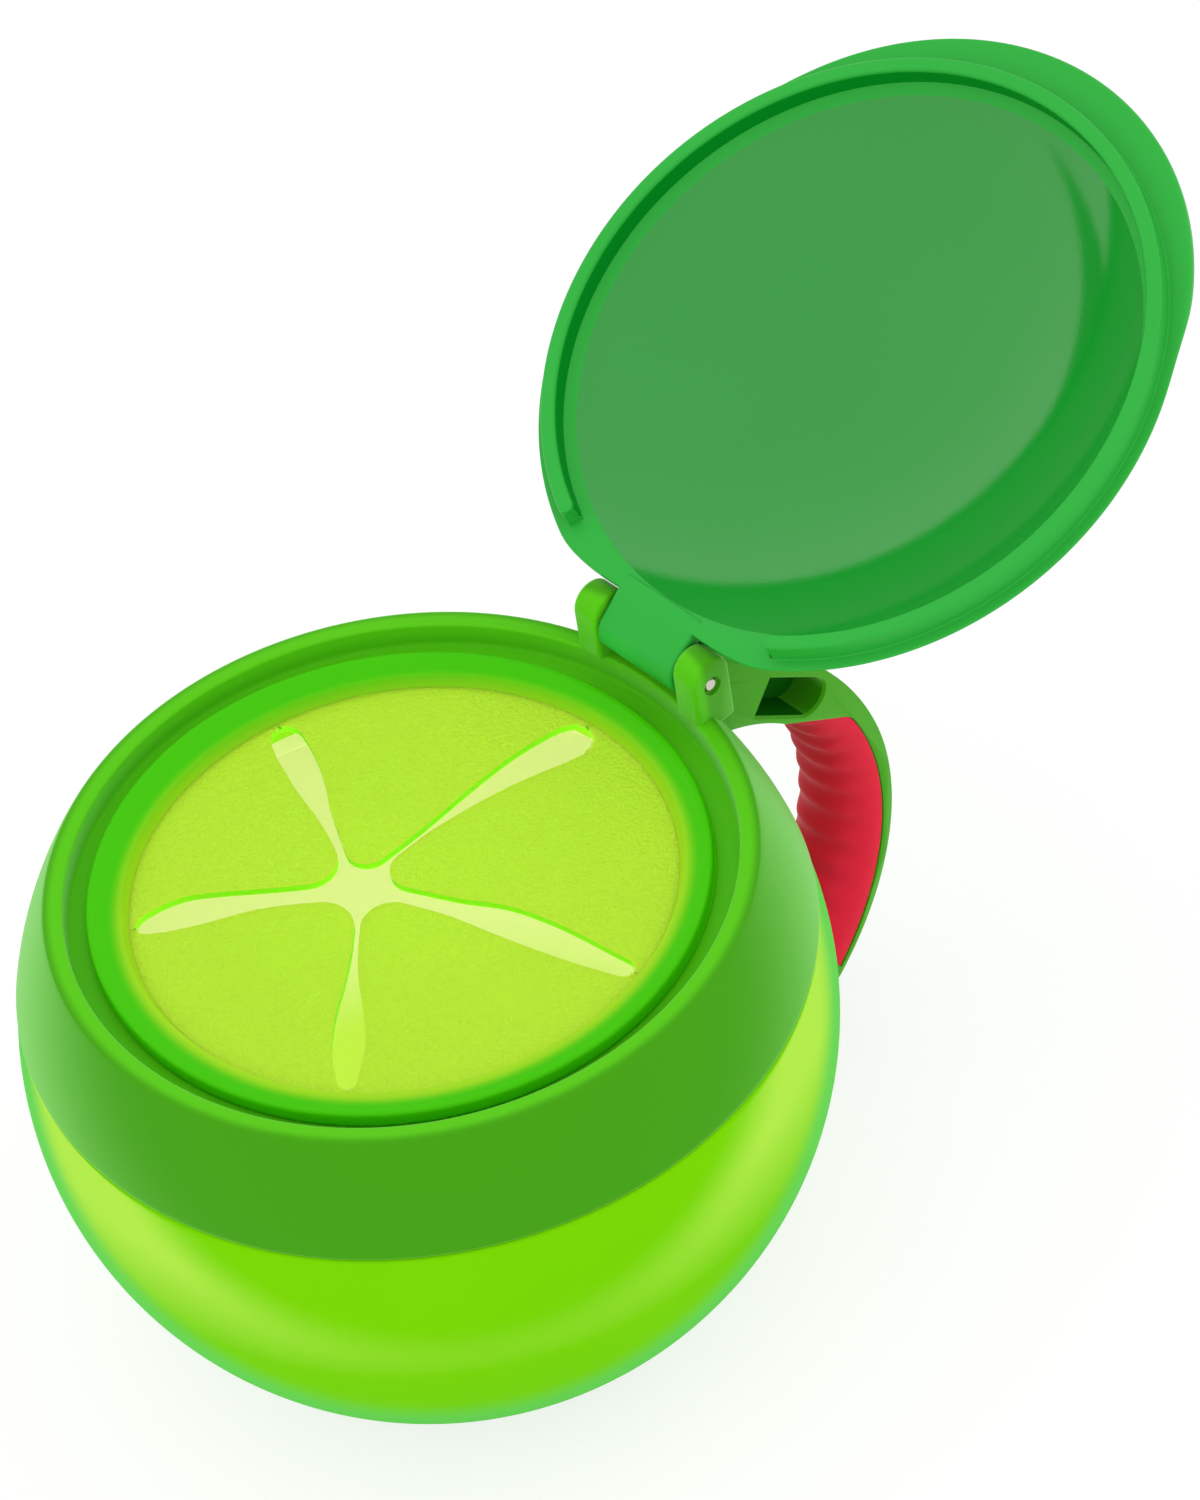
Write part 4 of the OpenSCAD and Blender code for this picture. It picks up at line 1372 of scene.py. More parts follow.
@dataclass
class Lid:
    """The domed lid with its sealing bead, thumb lip and knuckle, open on the pin.

    Attributes:
        layout: The shared sizes.
        dome_h: Height of the dome above the lid's edge.
        wall: Wall at the top of the dome.
        inset: How far the lid's edge lies inside the rim's outer edge.
        gap: Gap between the closed lid and the rim.
        bead_w: Thickness of the sealing bead.
        bead_h: Height of the sealing bead.
        bead_gap: Half of the angle that the bead leaves open at the hinge.
        floor_step: Width of the slope inside the bead.
        floor_rise: Height of that slope.
        lip_out: Reach of the thumb lip beyond the lid's edge.
        lip_shift: Distance between the middles of the lip's and the lid's curve.
        lip_t: Thickness of the thumb lip.
        edge_t: Thickness of the lid's edge elsewhere.
        strip_w: How far the tab reaches under the dome.
        knuckle_r: Radius of the knuckle.
        knuckle_half: Half of the knuckle's width.
        tab_edge: Rounding of the tab's edges.
        chord_gap: Distance of the lid's straight back from the pin.
        chord_from: Sine of the angle at which the outline's straight back may start.
        chord_soft: Rounding where that back meets the lid's edge.
        lip_soft: Rounding where the thumb lip meets it.
        lip_run: Reach over which the lip gains its thickness.
        open_angle: Angle between the closed lid and the open one.
        pin_play: Gap between the pin and the knuckle.
        margin: How far above the lid's plane the hollow's faces begin.
        bead_edge: How far above the bead's end its wall's faces begin.
        chords: Chords in the dome's section.
        hollow_chords: Chords in the hollow's section.
    """

    layout: Layout
    dome_h: float = 16.4
    wall: float = 1.8
    inset: float = 1.2
    gap: float = 0.5
    bead_w: float = 1.9
    bead_h: float = 2.8
    bead_gap: float = 26.0
    floor_step: float = 1.4
    floor_rise: float = 0.7
    lip_out: float = 3.5
    lip_shift: float = 6.0
    lip_t: float = 1.5
    edge_t: float = 0.45
    strip_w: float = 2.0
    knuckle_r: float = 3.0
    knuckle_half: float = 6.25
    tab_edge: float = 0.5
    chord_gap: float = 3.1
    chord_from: float = 0.3
    chord_soft: float = 1.6
    lip_soft: float = 0.5
    lip_run: float = 1.2
    open_angle: float = 156.4
    pin_play: float = 0.08
    margin: float = 0.3
    bead_edge: float = 0.4
    chords: int = 28
    hollow_chords: int = 32

    @property
    def lid_z(self) -> float:
        """Height of the closed lid's lower face."""
        return self.layout.rim_z + self.gap

    @property
    def lid_r(self) -> float:
        """Radius of the lid's edge."""
        return self.layout.rim_r - self.inset

    @property
    def dome_r(self) -> float:
        """Radius of the dome."""
        return (self.lid_r ** 2 + self.dome_h ** 2) / (2 * self.dome_h)

    @property
    def dome_z(self) -> float:
        """Height of the dome's middle."""
        return self.lid_z + self.dome_h - self.dome_r

    @property
    def bead_r(self) -> float:
        """Outer radius of the bead."""
        return self.layout.groove_r - SIDE_GAP

    @property
    def hollow_r(self) -> float:
        """Radius of the hollow's edge."""
        return self.bead_r - self.bead_w - self.floor_step

    @property
    def open_place(self) -> Matrix:
        """The turn about the pin that opens the closed lid."""
        pin = Vector((0, *self.layout.pin))
        return (Matrix.Translation(pin)
                @ Matrix.Rotation(-math.radians(self.open_angle), 4, "X")
                @ Matrix.Translation(-pin))

    def reach(self, turn: float) -> float:
        """Returns the radius of the lid's outline at an angle, with its lip and its chord."""
        sine = math.sin(math.radians(turn))
        cosine = math.cos(math.radians(turn))
        back = self.layout.pin[0] - self.chord_gap
        if sine > self.chord_from:
            return eased(self.lid_r, back / sine, self.chord_soft, -1)
        lip_r = self.lid_r + self.lip_out - self.lip_shift
        lip = -self.lip_shift * sine + math.sqrt(lip_r ** 2 - (self.lip_shift * cosine) ** 2)
        return eased(self.lid_r, lip, self.lip_soft, 1)

    def bead_share(self, turn: float) -> float:
        """Returns the share of the bead's width at an angle: 1, less in its round ends, or 0."""
        bead_mid = self.bead_r - self.bead_w / 2
        for start, side, end_r in ((90 + self.bead_gap, 1, 0.95), (90 - self.bead_gap, -1, 0.4)):
            off = ((turn - start) * side + 180) % 360 - 180
            depth = math.radians(off) * bead_mid
            if -2 * self.bead_gap < off < 0:
                return 0.0
            if 0 <= depth < end_r:
                return math.sqrt(max(0.0, 1 - (1 - depth / end_r) ** 2))
        return 1.0

    def section(self, turn: float) -> list[Point]:
        """Gives the closed lid's section at an angle.

        Args:
            turn: The angle, in degrees.

        Returns:
            Points of (radius, height) from the dome's top over the edge to the hollow's top.
        """
        out = self.reach(turn)
        lip = smooth((out - self.lid_r) / self.lip_run)
        edge_t = self.edge_t + (self.lip_t - self.edge_t) * lip
        crown = math.sqrt(max(self.dome_r ** 2 - out ** 2, 0.0)) + self.dome_z - self.lid_z
        thick = max(edge_t, crown)
        end = min(out, math.sqrt(self.dome_r ** 2 - (self.lid_z + thick - self.dome_z) ** 2))
        dome = []
        for k in range(self.chords):
            radius = end * math.sin(math.pi / 2 * k / self.chords)
            dome.append((radius, self.dome_z + math.sqrt(self.dome_r ** 2 - radius ** 2), 0.0))
        outer = self.bead_r
        share = self.bead_share(turn)
        middle, half = outer - self.bead_w / 2, self.bead_w / 2 * share
        drop = self.bead_h if share > 0 else 0.0
        bead_out = min(middle + half if share > 0 else outer, out - 0.25)
        bead_in = middle - half if share > 0 else outer - self.bead_w
        floor_r = self.hollow_r
        hollow_h = self.dome_h - self.wall - self.floor_rise
        ball_r = (floor_r ** 2 + hollow_h ** 2) / (2 * hollow_h)
        ball_z = self.lid_z + self.dome_h - self.wall - ball_r
        steps = self.hollow_chords
        hollow = []
        for k in range(1, steps + 1):
            radius = floor_r * math.cos(math.pi / 2 * k / steps)
            hollow.append((radius, ball_z + math.sqrt(ball_r ** 2 - radius ** 2), 0.0))
        return filleted([
            *dome,
            (end, self.lid_z + thick, 0.3),
            (out, self.lid_z + thick, 0.35 + 0.25 * lip), (out, self.lid_z, 0.2 + 0.3 * lip),
            (bead_out, self.lid_z, 0.25), (bead_out, self.lid_z - drop, 0.45),
            (bead_in, self.lid_z - drop, 0.45), (bead_in, self.lid_z, 0.15),
            (outer - self.bead_w, self.lid_z, 0.1),
            (floor_r, self.lid_z + self.floor_rise, 0.4),
            *hollow], closed=False)

    def finish_of(self, centre: Vector, normal: Vector) -> int:
        """Tells the parts of the closed lid apart.

        Args:
            centre: Middle of a face.
            normal: Its normal.

        Returns:
            1 for the hollow, 2 for the bead's inner wall, the two parts with painted shade, or 0.
        """
        radius = math.hypot(centre.x, centre.y)
        high = self.lid_z + self.margin
        if normal.z < 0 and radius < self.hollow_r and centre.z > high:
            return 1
        outwards = (normal.x * centre.x + normal.y * centre.y) / max(radius, 1.0)
        on_wall = self.lid_z - self.bead_h + self.bead_edge < centre.z < high
        return 2 if outwards < -0.8 and on_wall and radius > self.hollow_r else 0

    def turns(self) -> list[float]:
        """Returns the angles of the lid's sections, closer together where the shape changes."""
        marks = {round(turn, 3) for turn in TURNS}
        for start, side in ((90 + self.bead_gap, 1), (90 - self.bead_gap, -1)):
            marks |= {round(start + side * off, 3) for off in
                      (-0.02, 0.001, 0.05, 0.12, 0.22, 0.35, 0.5, 0.7, 0.95, 1.2, 1.45)}
        return sorted(mark % 360 for mark in marks)

    def tab(self) -> bmesh.types.BMesh:
        """Returns the tab and knuckle of the closed lid, tangent to each other."""
        pin = Vector(self.layout.pin)
        back = pin.x - self.chord_gap
        high_z = self.dome_z + math.sqrt(self.dome_r ** 2 - back ** 2)
        touches = []
        for point, side in (((back, self.lid_z), -1), ((back, high_z), 1)):
            way = pin - Vector(point)
            turn = math.degrees(math.atan2(way.y, way.x) + side * math.asin(
                self.knuckle_r / way.length))
            run = math.sqrt(way.length ** 2 - self.knuckle_r ** 2)
            touch = Vector(point) + Vector(polar(run, turn))
            touches.append(math.degrees(math.atan2(touch.y - pin.y, touch.x - pin.x)))
        low, high = touches
        if high < low:
            high += 360
        outline = ([(back - self.strip_w, self.lid_z), (back, self.lid_z)]
                   + arc(tuple(pin), self.knuckle_r, low, high, 40)
                   + [(back, high_z), (back - self.strip_w, high_z)])
        return bevel_corners(extruded(outline, self.knuckle_half), self.tab_edge)

    def make(self, collar: Collar) -> None:
        """Builds the lid closed, opens it about the pin, and lets it ride.

        Args:
            collar: The collar, whose ears need room beside the knuckle.
        """
        at = self.layout
        piece = as_object(revolved_by(self.section, self.turns()), "lid_shell")
        carve(piece, self.tab(), Cut.JOIN)
        for side in (-1, 1):
            room = axle(collar.ear_top + SIDE_GAP, collar.ear_t / 2 + SIDE_GAP, at.pin,
                        side * (collar.ear_x + collar.ear_t / 2))
            carve(piece, room, Cut.REMOVE)
        carve(piece, axle(at.pin_r + self.pin_play, at.pin_half, at.pin), Cut.REMOVE)
        inside = [self.finish_of(face.center / MM, face.normal) for face in piece.data.polygons]
        piece.data.transform(Matrix.Scale(MM, 4) @ self.open_place @ Matrix.Scale(1 / MM, 4))
        dress(piece, Finish.TAB)
        piece.data.materials.append(Finish.LID.build())
        piece.data.materials.append(Finish.BEAD.build())
        piece.data.polygons.foreach_set("material_index", inside)
        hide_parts("lid")
        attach(piece, "lid")
        report(piece)


@dataclass
class Slot:
    """One slot of the star, between two flaps.

    Attributes:
        turn: Angle of its head.
        head_r: Length of its round head.
        left: How far its left side lies off the line from the hub to the head, at STATIONS.
        right: The same for its right side.
    """

    STATIONS: ClassVar[tuple[float, ...]] = (0.2, 0.35, 0.5, 0.65, 0.8, 0.92, 1.0)

    turn: float
    head_r: float
    left: tuple[float, ...]
    right: tuple[float, ...]

    def offset(self, hand: int, share: float) -> float:
        """Gives how far a side lies off the slot's line.

        Args:
            hand: 1 for the left side, -1 for the right one.
            share: Place from the hub, 0, to the head, 1.

        Returns:
            The offset, on a smooth curve through those at the stations.
        """
        marks = self.STATIONS
        last = len(marks) - 1
        values = self.left if hand > 0 else self.right
        slopes = [(values[min(k + 1, last)] - values[max(k - 1, 0)])
                  / (marks[min(k + 1, last)] - marks[max(k - 1, 0)]) for k in range(last + 1)]
        k = max(0, min(last - 1, sum(mark <= share for mark in marks) - 1))
        run = marks[k + 1] - marks[k]
        t = (share - marks[k]) / run
        return ((2 * t ** 3 - 3 * t ** 2 + 1) * values[k]
                + (3 * t ** 2 - 2 * t ** 3) * values[k + 1]
                + run * ((t ** 3 - 2 * t ** 2 + t) * slopes[k] + (t ** 3 - t ** 2) * slopes[k + 1]))


@dataclass
class Insert:
    """The soft insert: a ring pushed onto the collar's ledge, and five flaps round a star.

    Attributes:
        layout: The shared sizes.
        groove_w: Groove between the rim's inner wall and the upstand.
        band_w: Width of the sloping band.
        band_fall: Fall across that band.
        band_foot: Width of the slope at its foot.
        flange_t: Thickness of the flange under the ledge.
        flap_t: Thickness of the flaps.
        star_inset: Distance from the band to the slots' heads.
        hub: Where the slots meet.
        tip_r: Rounding of each flap's tip.
        tip_from: Place along a slot that gives the direction of the tip's sides.
        tip_to: Place along a slot where the tip's rounding may start.
        bead_relief: Relief of the upstand on the hinge side.
        web_gap: Gap between the ledge's inner edge and the web.
        flange_w: Reach of the flange under the ledge.
        top_w: Width of the upstand's flat top.
        membrane_up: Height of the membrane's top above the ledge.
        taper_run: Share of a slot's length over which its head's taper is measured.
        cut_edge: Rounding of the flaps' upper edges.
        seam: Half of the gap between neighbouring flaps behind a slot's head.
        root_gap: Gap between a flap's root and the ring.
        bend_half: Half of the width in which a flap would bend; not used.
        bend_steps: Number of rows of faces on each side of the bend's middle.
        bend_row: Distance between these rows.
        slots: The five slots, counterclockwise.
    """

    layout: Layout
    groove_w: float = 2.5
    band_w: float = 4.0
    band_fall: float = 0.75
    band_foot: float = 0.7
    flange_t: float = 0.8
    flap_t: float = 0.9
    star_inset: float = 1.45
    hub: Point = (-4.0, -3.2)
    tip_r: tuple[float, ...] = (3.1, 2.7, 3.6, 4.2, 3.5)
    tip_from: float = 0.22
    tip_to: float = 0.26
    bead_relief: float = 1.0
    web_gap: float = 0.3
    flange_w: float = 1.5
    top_w: float = 0.9
    membrane_up: float = 0.1
    taper_run: float = 0.05
    cut_edge: float = 0.36
    seam: float = 0.01
    root_gap: float = 0.006
    bend_half: float = 2.0
    bend_steps: int = 6
    bend_row: float = 0.4
    slots: list[Slot] = field(default_factory=lambda: [
        Slot(15, 1.4, (1.82, 2.45, 3.5, 3.48, 2.8, 2.0, 1.5),
             (-0.6, -0.38, -0.78, -1.14, -1.3, -1.27, -1.15)),
        Slot(95, 2.9, (1.27, 1.58, 2.12, 2.6, 2.87, 2.7, 2.35),
             (0.3, 0.5, 0.15, -0.45, -1.5, -2.6, -3.15)),
        Slot(167, 2.1, (0.73, 0.67, 0.95, 1.5, 1.75, 1.85, 1.7),
             (-0.17, -0.55, -1.0, -1.75, -2.23, -2.25, -2.1)),
        Slot(233, 1.5, (1.53, 0.97, 0.74, 1.03, 1.35, 1.38, 1.2),
             (-1.45, -1.93, -2.53, -3.16, -3.5, -2.87, -2.0)),
        Slot(306, 1.2, (0.36, 0.26, 0.53, 1.27, 1.77, 1.4, 1.0),
             (-0.33, -0.53, -1.07, -1.85, -2.17, -1.75, -1.25))])

    @property
    def upstand_r(self) -> float:
        """Radius of the upstand."""
        return self.layout.groove_r - self.groove_w

    @property
    def foot_r(self) -> float:
        """Radius of the band's foot, where the flat membrane starts."""
        return self.upstand_r - self.band_w - self.band_foot

    @property
    def top(self) -> float:
        """Height of the membrane's top."""
        return self.layout.ledge_z + self.membrane_up

    def ring_section(self, turn: float) -> list[Point]:
        """Returns the section of the ring at an angle, with the relief for the bead."""
        at = self.layout
        sine, cosine = math.sin(math.radians(turn)), math.cos(math.radians(turn))
        relief = -self.bead_relief * sine + math.sqrt(
            self.upstand_r ** 2 - (self.bead_relief * cosine) ** 2)
        outer = min(self.upstand_r, relief)
        high = at.rim_z - at.upstand_drop
        band_r, band_z = self.upstand_r - self.band_w, high - self.band_fall
        web_r = at.mouth_r - self.web_gap
        flange_r = web_r + self.flange_w
        under = at.ledge_z - at.ledge_t - 2 * self.membrane_up
        return filleted([
            (self.foot_r, self.top, 0.03), (self.foot_r, under - self.flange_t, 0.2),
            (flange_r, under - self.flange_t, 0.3), (flange_r, under, 0.3),
            (web_r, under, 0.2), (web_r, self.top, 0.2),
            (self.upstand_r - 0.2, self.top, 0.2), (outer, self.top + 0.5, 0.1),
            (outer, high, 0.45), (outer - self.top_w, high, 0.4),
            (band_r, band_z, 0.5)], steps=4)

    def head(self, index: int) -> Vector:
        """Returns the middle of a slot's round head."""
        slot = self.slots[index]
        star_r = self.upstand_r - self.band_w - self.star_inset
        return Vector(polar(star_r - slot.head_r, slot.turn))

    def side(self, index: int, hand: int, share: float) -> Vector:
        """Gives a point on a side of a slot.

        Args:
            index: The slot.
            hand: 1 for its left side, -1 for its right one.
            share: Place from the hub, 0, to the head, 1.

        Returns:
            The point.
        """
        run = self.head(index) - Vector(self.hub)
        off = self.slots[index].offset(hand, share)
        way = run.normalized()
        return Vector(self.hub) + run * share + Vector((-way.y, way.x)) * off

    def head_arc(self, index: int, start: float, end: float) -> list[Vector]:
        """Returns a slot's round head between two angles, wider on one side if its sides are."""
        slot = self.slots[index]
        run = self.head(index) - Vector(self.hub)
        way = run.normalized()
        steps = 10
        points = []
        for step in range(steps + 1):
            turn = start + (end - start) * step / steps
            hand = 1 if turn >= 0 else -1
            width = slot.offset(hand, 1.0)
            before = slot.offset(hand, 1.0 - self.taper_run)
            taper = (width - before) / (self.taper_run * run.length)
            reach, aside = polar(1.0, abs(turn))
            off = (width + taper * slot.head_r * reach) * aside
            points.append(self.head(index) + way * slot.head_r * reach
                          + Vector((-way.y, way.x)) * off)
        return points

    def tip(self, index: int, following: int) -> list[Vector]:
        """Returns the rounded tip of a flap, from its right side to its left one."""
        start, start_in = self.side(index, 1, self.tip_to), self.side(index, 1, self.tip_from)
        end, end_in = self.side(following, -1, self.tip_to), self.side(following, -1, self.tip_from)
        u, v, w = start_in - start, end_in - end, end - start
        share = (w.x * v.y - w.y * v.x) / (u.x * v.y - u.y * v.x)
        point = start + u * share
        first, last = (start - point).normalized(), (end - point).normalized()
        half = math.acos(first.dot(last)) / 2
        radius = self.tip_r[index]
        middle = point + (first + last).normalized() * radius / math.sin(half)
        spokes = [point + way * radius / math.tan(half) - middle for way in (first, last)]
        turns = [math.degrees(math.atan2(spoke.y, spoke.x)) for spoke in spokes]
        turn = (turns[1] - turns[0] + 180) % 360 - 180
        return [Vector(p) for p in arc(tuple(middle), radius, turns[0], turns[0] + turn, 14)]

    def leaf_outline(self, index: int, outer: float) -> tuple[list[Vector], int]:
        """Gives the outline of one flap with its root, as seen from above.

        Args:
            index: The flap.
            outer: Radius of the root's outer edge.

        Returns:
            The points, and how many of them lie along the slots.
        """
        j = (index + 1) % len(self.slots)
        shares = [0.98 - 0.03 * k for k in range(24)] + [self.tip_to]
        free = (self.head_arc(index, 0.4, 90) + [self.side(index, 1, t) for t in shares]
                + self.tip(index, j) + [self.side(j, -1, t) for t in reversed(shares)]
                + self.head_arc(j, -90, -0.4))
        ends = []
        for k, hand in ((j, -1), (index, 1)):
            run = (self.head(k) - Vector(self.hub)).normalized()
            aside = Vector((-run.y, run.x)) * hand * self.seam
            start = self.head_arc(k, 0.0, 0.1)[0] + aside
            along = start.dot(run)
            far = -along + math.sqrt(along * along - start.dot(start) + outer * outer)
            ends.append(start + run * far)
        turns = [math.degrees(math.atan2(end.y, end.x)) for end in ends]
        while turns[1] > turns[0]:
            turns[1] -= 360
        root = [Vector(point) for point in arc((0.0, 0.0), outer, turns[0], turns[1], 40)]
        return free + root, len(free)

    def make_leaf(self, index: int) -> None:
        """Builds one flap with its root, with rows of faces about the line where it would bend.

        Args:
            index: The flap, from 0.
        """
        outline, free = self.leaf_outline(index, self.foot_r - self.root_gap)
        mesh = bmesh.new()
        low = [mesh.verts.new((*point, self.top - self.flap_t)) for point in outline]
        high = [mesh.verts.new((*point, self.top)) for point in outline]
        mesh.faces.new(list(reversed(low)))
        mesh.faces.new(high)
        edges = []
        for k in range(len(outline)):
            m = (k + 1) % len(outline)
            mesh.faces.new((low[k], low[m], high[m], high[k]))
            if k < free - 1:
                edges.append(mesh.edges.get((high[k], high[m])))
        bmesh.ops.bevel(mesh, geom=edges, offset=self.cut_edge, segments=4, affect="EDGES",
                        profile=0.7)
        a, b = self.head(index), self.head((index + 1) % len(self.slots))
        way = (b - a).normalized()
        outwards = Vector((way.y, -way.x))
        for step in range(-self.bend_steps, self.bend_steps + 1):
            offset = a + outwards * step * self.bend_row
            bmesh.ops.bisect_plane(mesh, geom=mesh.verts[:] + mesh.edges[:] + mesh.faces[:],
                                   plane_co=(*offset, 0), plane_no=(*outwards, 0))
        bmesh.ops.recalc_face_normals(mesh, faces=mesh.faces)
        piece = dress(as_object(mesh, f"flap_leaf_{index + 1}"), Finish.FLAP)
        piece.data.materials.append(Finish.EDGE.build())
        piece.data.materials.append(Finish.WALL.build())
        # Rounded edge faces take the edge finish, a darker line of painted shade; upright cut faces
        # take the wall finish, painted bright for the light from below.
        flat, upright = 0.9995, 0.2
        piece.data.polygons.foreach_set("material_index", [
            (abs(face.normal.z) < flat) + (abs(face.normal.z) < upright)
            for face in piece.data.polygons])
        name = f"flap_{index + 1}"
        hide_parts(name)
        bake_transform(piece)
        report(piece)

    def make(self) -> None:
        """Builds the ring and the five flaps."""
        piece = dress(as_object(revolved_by(self.ring_section, TURNS), "insert_ring"), Finish.RING)
        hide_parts("flap_ring")
        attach(piece, "insert")
        report(piece)
        for index in range(len(self.slots)):
            self.make_leaf(index)


@dataclass
class Studio:
    """The pale floor, the soft lights and the camera at the photograph's viewing angle.

    Attributes:
        azimuth: Camera's angle round Z, from the front towards +X, in degrees.
        elevation: Its angle above the floor.
        roll: Its roll.
        distance: Its distance from what it looks at, in millimetres.
        target: What it looks at, in millimetres.
        lens: Focal length on a 36 mm sensor.
        sensor: Width of that sensor.
        floor_drop: Distance of the floor below the foot, so that the two don't coincide.
        floor_r: Radius of the floor.
        paper: Colour of the floor.
        paper_glow: Strength of the white that the floor adds where it is seen.
        glow_share: Share of that white.
        fibre_mm: Size of the paper's fibres.
        level: Strength of the room's light.
        band_way: Direction across the dark gap in that light, which the lid's hollow mirrors.
        band_width: Half widths of the gap's dark middle and of its soft edges, as cosines.
        band_left: Directions to the left between which the gap ends.
        band_dark: Strength of the light in the gap.
        lamp_z: Height of the lamp in the bowl.
        lamp_r: Its radius.
        lamp_w: Its power.
    """

    azimuth: float = 53.8
    elevation: float = 45.32
    roll: float = -9.75
    distance: float = 757.2
    target: tuple[float, float, float] = (3.1, 28.5, 65.2)
    lens: float = 195.9
    sensor: float = 36.0
    floor_drop: float = 0.15
    floor_r: float = 3000.0
    paper: str = "#f4f4f4"
    paper_glow: float = 1.08
    glow_share: float = 0.7
    fibre_mm: float = 1.25
    level: float = 1.13
    band_way: Corner = (0.156, -0.245, 1.0)
    band_width: Point = (0.05, 0.09)
    band_left: Point = (-0.5, -0.2)
    band_dark: float = 0.1
    lamp_z: float = 34.0
    lamp_r: float = 12.0
    lamp_w: float = 0.05

    def make_camera(self) -> None:
        """Places the camera."""
        azimuth, elevation = math.radians(self.azimuth), math.radians(self.elevation)
        back = Vector((math.sin(azimuth) * math.cos(elevation),
                       -math.cos(azimuth) * math.cos(elevation), math.sin(elevation)))
        right = Vector((math.cos(azimuth), math.sin(azimuth), 0))
        turned = Matrix.Rotation(math.radians(self.roll), 3, back) @ right
        up = back.cross(turned)
        data = bpy.data.cameras.new("camera")
        data.sensor_fit, data.sensor_width, data.lens = "HORIZONTAL", self.sensor, self.lens
        data.clip_start, data.clip_end = 0.05, 20.0
        camera = bpy.data.objects.new("camera", data)
        place = Matrix((turned, up, back)).transposed().to_4x4()
        place.translation = (Vector(self.target) + back * self.distance) * MM
        camera.matrix_world = place
        bpy.context.scene.collection.objects.link(camera)
        bpy.context.scene.camera = camera

    def seen(self, tree: bpy.types.NodeTree) -> bpy.types.NodeSocket:
        """Returns 1 on camera, glossy and transmission rays, and 0 on others."""
        path = add_node(tree, "ShaderNodeLightPath").outputs
        first = add_node(tree, "ShaderNodeMath", {"operation": "MAXIMUM"}, {
            0: path["Is Camera Ray"], 1: path["Is Glossy Ray"]})
        both = add_node(tree, "ShaderNodeMath", {"operation": "MAXIMUM"}, {
            0: first.outputs[0], 1: path["Is Transmission Ray"]})
        return both.outputs[0]

    def make_floor(self) -> None:
        """Builds the floor, white where it is seen, with the object's soft shadow."""
        mesh = bmesh.new()
        bmesh.ops.create_circle(mesh, cap_ends=True, segments=64, radius=self.floor_r)
        bmesh.ops.translate(mesh, vec=(0, 0, -self.floor_drop), verts=mesh.verts)
        floor = as_object(mesh, "floor")
        material = bpy.data.materials.new("matt_white_paper")
        material.use_nodes = True
        tree = material.node_tree
        tree.nodes.clear()
        fibres = add_node(tree, "ShaderNodeTexNoise", inputs={
            "Vector": add_node(tree, "ShaderNodeTexCoord").outputs["Object"],
            "Scale": 1 / (self.fibre_mm * MM)})
        bump = add_node(tree, "ShaderNodeBump", inputs={
            "Height": fibres.outputs["Fac"], "Strength": 0.02, "Distance": 0.5 * MM})
        paper = add_node(tree, "ShaderNodeBsdfDiffuse", inputs={
            "Color": linear(self.paper), "Normal": bump.outputs["Normal"]})
        glow = add_node(tree, "ShaderNodeEmission", inputs={
            "Color": (1, 0.995, 1, 1), "Strength": self.paper_glow})
        share = add_node(tree, "ShaderNodeMath", {"operation": "MULTIPLY"}, {
            0: self.seen(tree), 1: self.glow_share})
        both = add_node(tree, "ShaderNodeMixShader", inputs={
            0: share.outputs[0], 1: paper.outputs[0], 2: glow.outputs[0]})
        add_node(tree, "ShaderNodeOutputMaterial", inputs={"Surface": both.outputs[0]})
        floor.data.materials.append(material)

    def make_world(self) -> None:
        """Builds the even light of the room, and its white where it is seen."""
        world = bpy.data.worlds.new("room")
        world.use_nodes = True
        tree = world.node_tree
        tree.nodes.clear()
        facing = add_node(tree, "ShaderNodeTexCoord").outputs["Generated"]
        gap = add_node(tree, "ShaderNodeVectorMath", {"operation": "DOT_PRODUCT"}, {
            0: facing, 1: self.band_way})
        off = add_node(tree, "ShaderNodeMath", {"operation": "ABSOLUTE"}, {
            0: gap.outputs["Value"]})
        left = add_node(tree, "ShaderNodeSeparateXYZ", inputs={0: facing}).outputs["X"]
        past = add_node(tree, "ShaderNodeMapRange", inputs={
            "Value": left, "From Min": self.band_left[0], "From Max": self.band_left[1]})
        beyond = add_node(tree, "ShaderNodeMath", {"operation": "ADD"}, {
            0: off.outputs[0], 1: past.outputs[0]})
        level = add_node(tree, "ShaderNodeMapRange", {"interpolation_type": "SMOOTHSTEP"}, {
            "Value": beyond.outputs[0], "From Min": self.band_width[0],
            "From Max": self.band_width[1], "To Min": self.band_dark, "To Max": self.level})
        light = add_node(tree, "ShaderNodeBackground", inputs={
            "Color": (1, 1, 1, 1), "Strength": level.outputs[0]})
        white = add_node(tree, "ShaderNodeBackground", inputs={
            "Color": (1, 1, 1, 1), "Strength": 1.0})
        path = add_node(tree, "ShaderNodeLightPath").outputs
        both = add_node(tree, "ShaderNodeMixShader", inputs={
            0: path["Is Camera Ray"], 1: light.outputs[0], 2: white.outputs[0]})
        add_node(tree, "ShaderNodeOutputWorld", inputs={"Surface": both.outputs[0]})
        bpy.context.scene.world = world

    def make_glow(self) -> None:
        """Lights the bowl's inside as the light that seeps through its wall does."""
        data = bpy.data.lights.new("bowl_glow", "POINT")
        data.shadow_soft_size, data.energy = self.lamp_r * MM, self.lamp_w
        lamp = bpy.data.objects.new("bowl_glow", data)
        lamp.location = Vector((0, 0, self.lamp_z)) * MM
        lamp.visible_camera = lamp.visible_glossy = lamp.visible_transmission = False
        bpy.context.scene.collection.objects.link(lamp)

    def make(self) -> None:
        """Builds the camera, the floor, the world and the lamp."""
        self.make_camera()
        self.make_floor()
        self.make_world()
        self.make_glow()
        bpy.context.scene.view_settings.view_transform = "Standard"


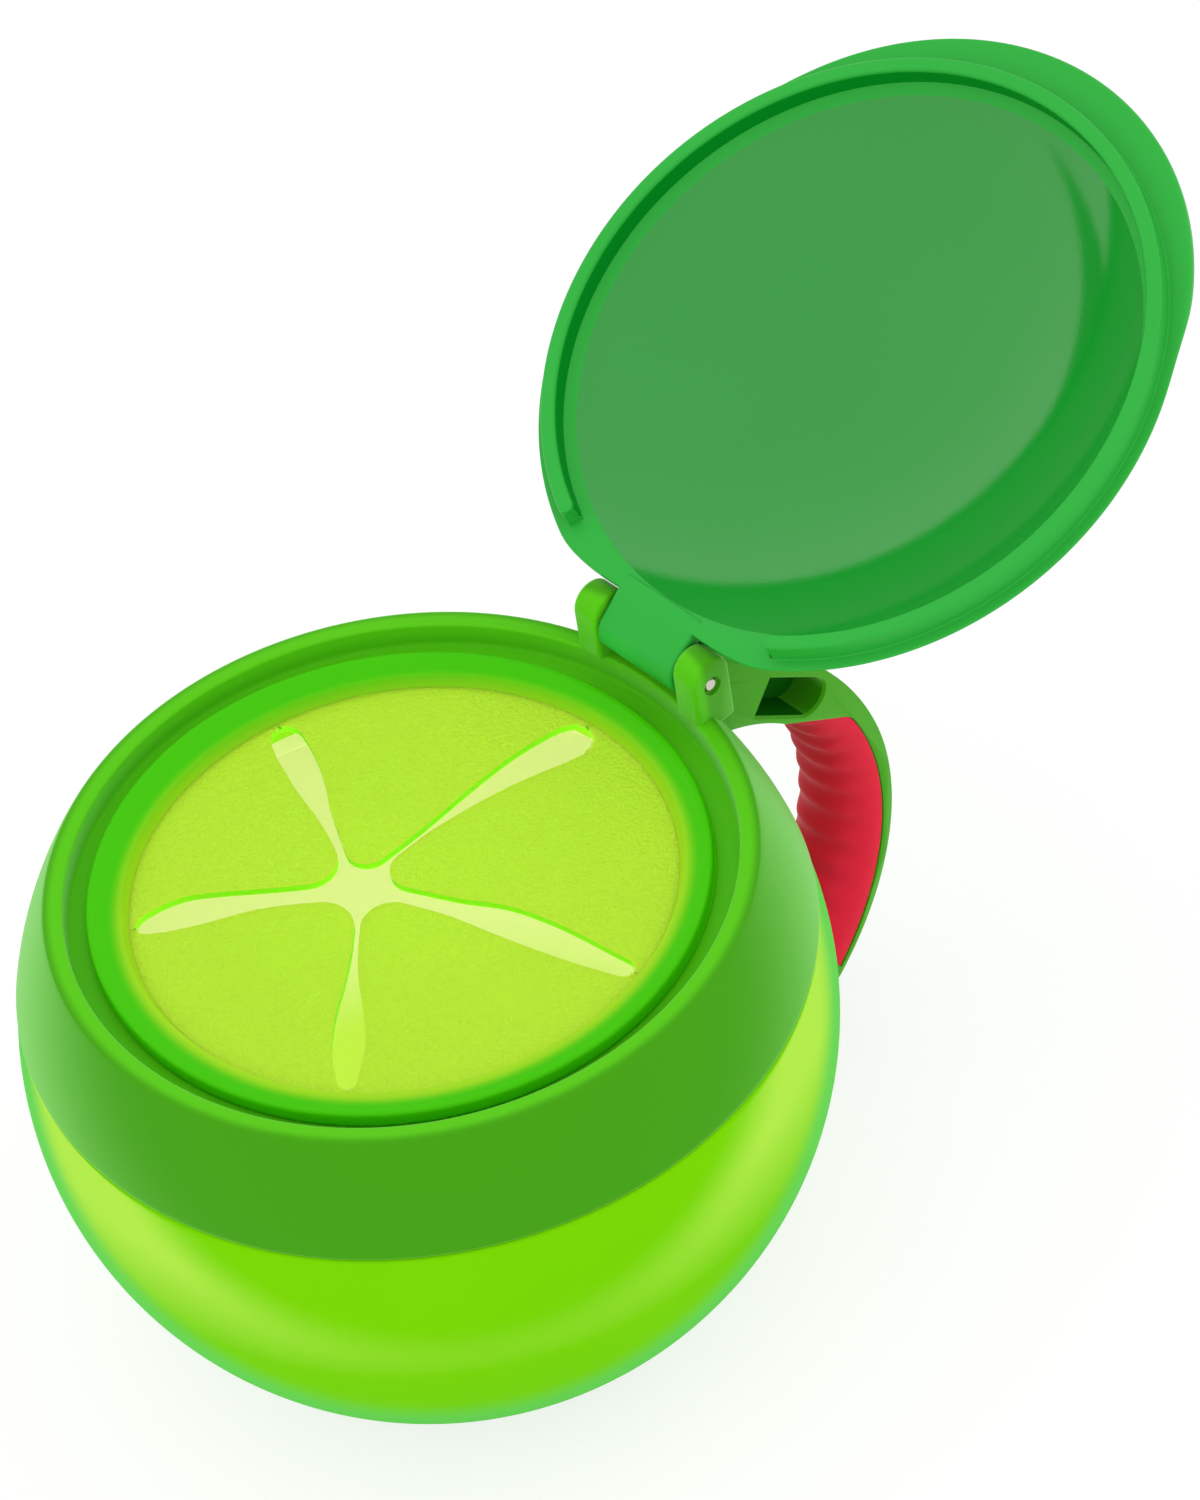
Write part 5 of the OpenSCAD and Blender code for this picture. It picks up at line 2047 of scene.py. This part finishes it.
def main() -> None:
    """Builds the studio and every sub-assembly."""
    logging.basicConfig(level=logging.INFO, format="%(message)s")
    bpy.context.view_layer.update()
    Studio().make()
    layout = Layout.read()
    lid = Lid(layout)
    collar = Collar(layout)
    handle = Handle(layout)
    Bowl(layout).make()
    collar.make()
    collar.make_pin()
    handle.make_arm(lid)
    handle.make_grip()
    lid.make(collar)
    Insert(layout).make()


if __name__ == "__main__":
    main()
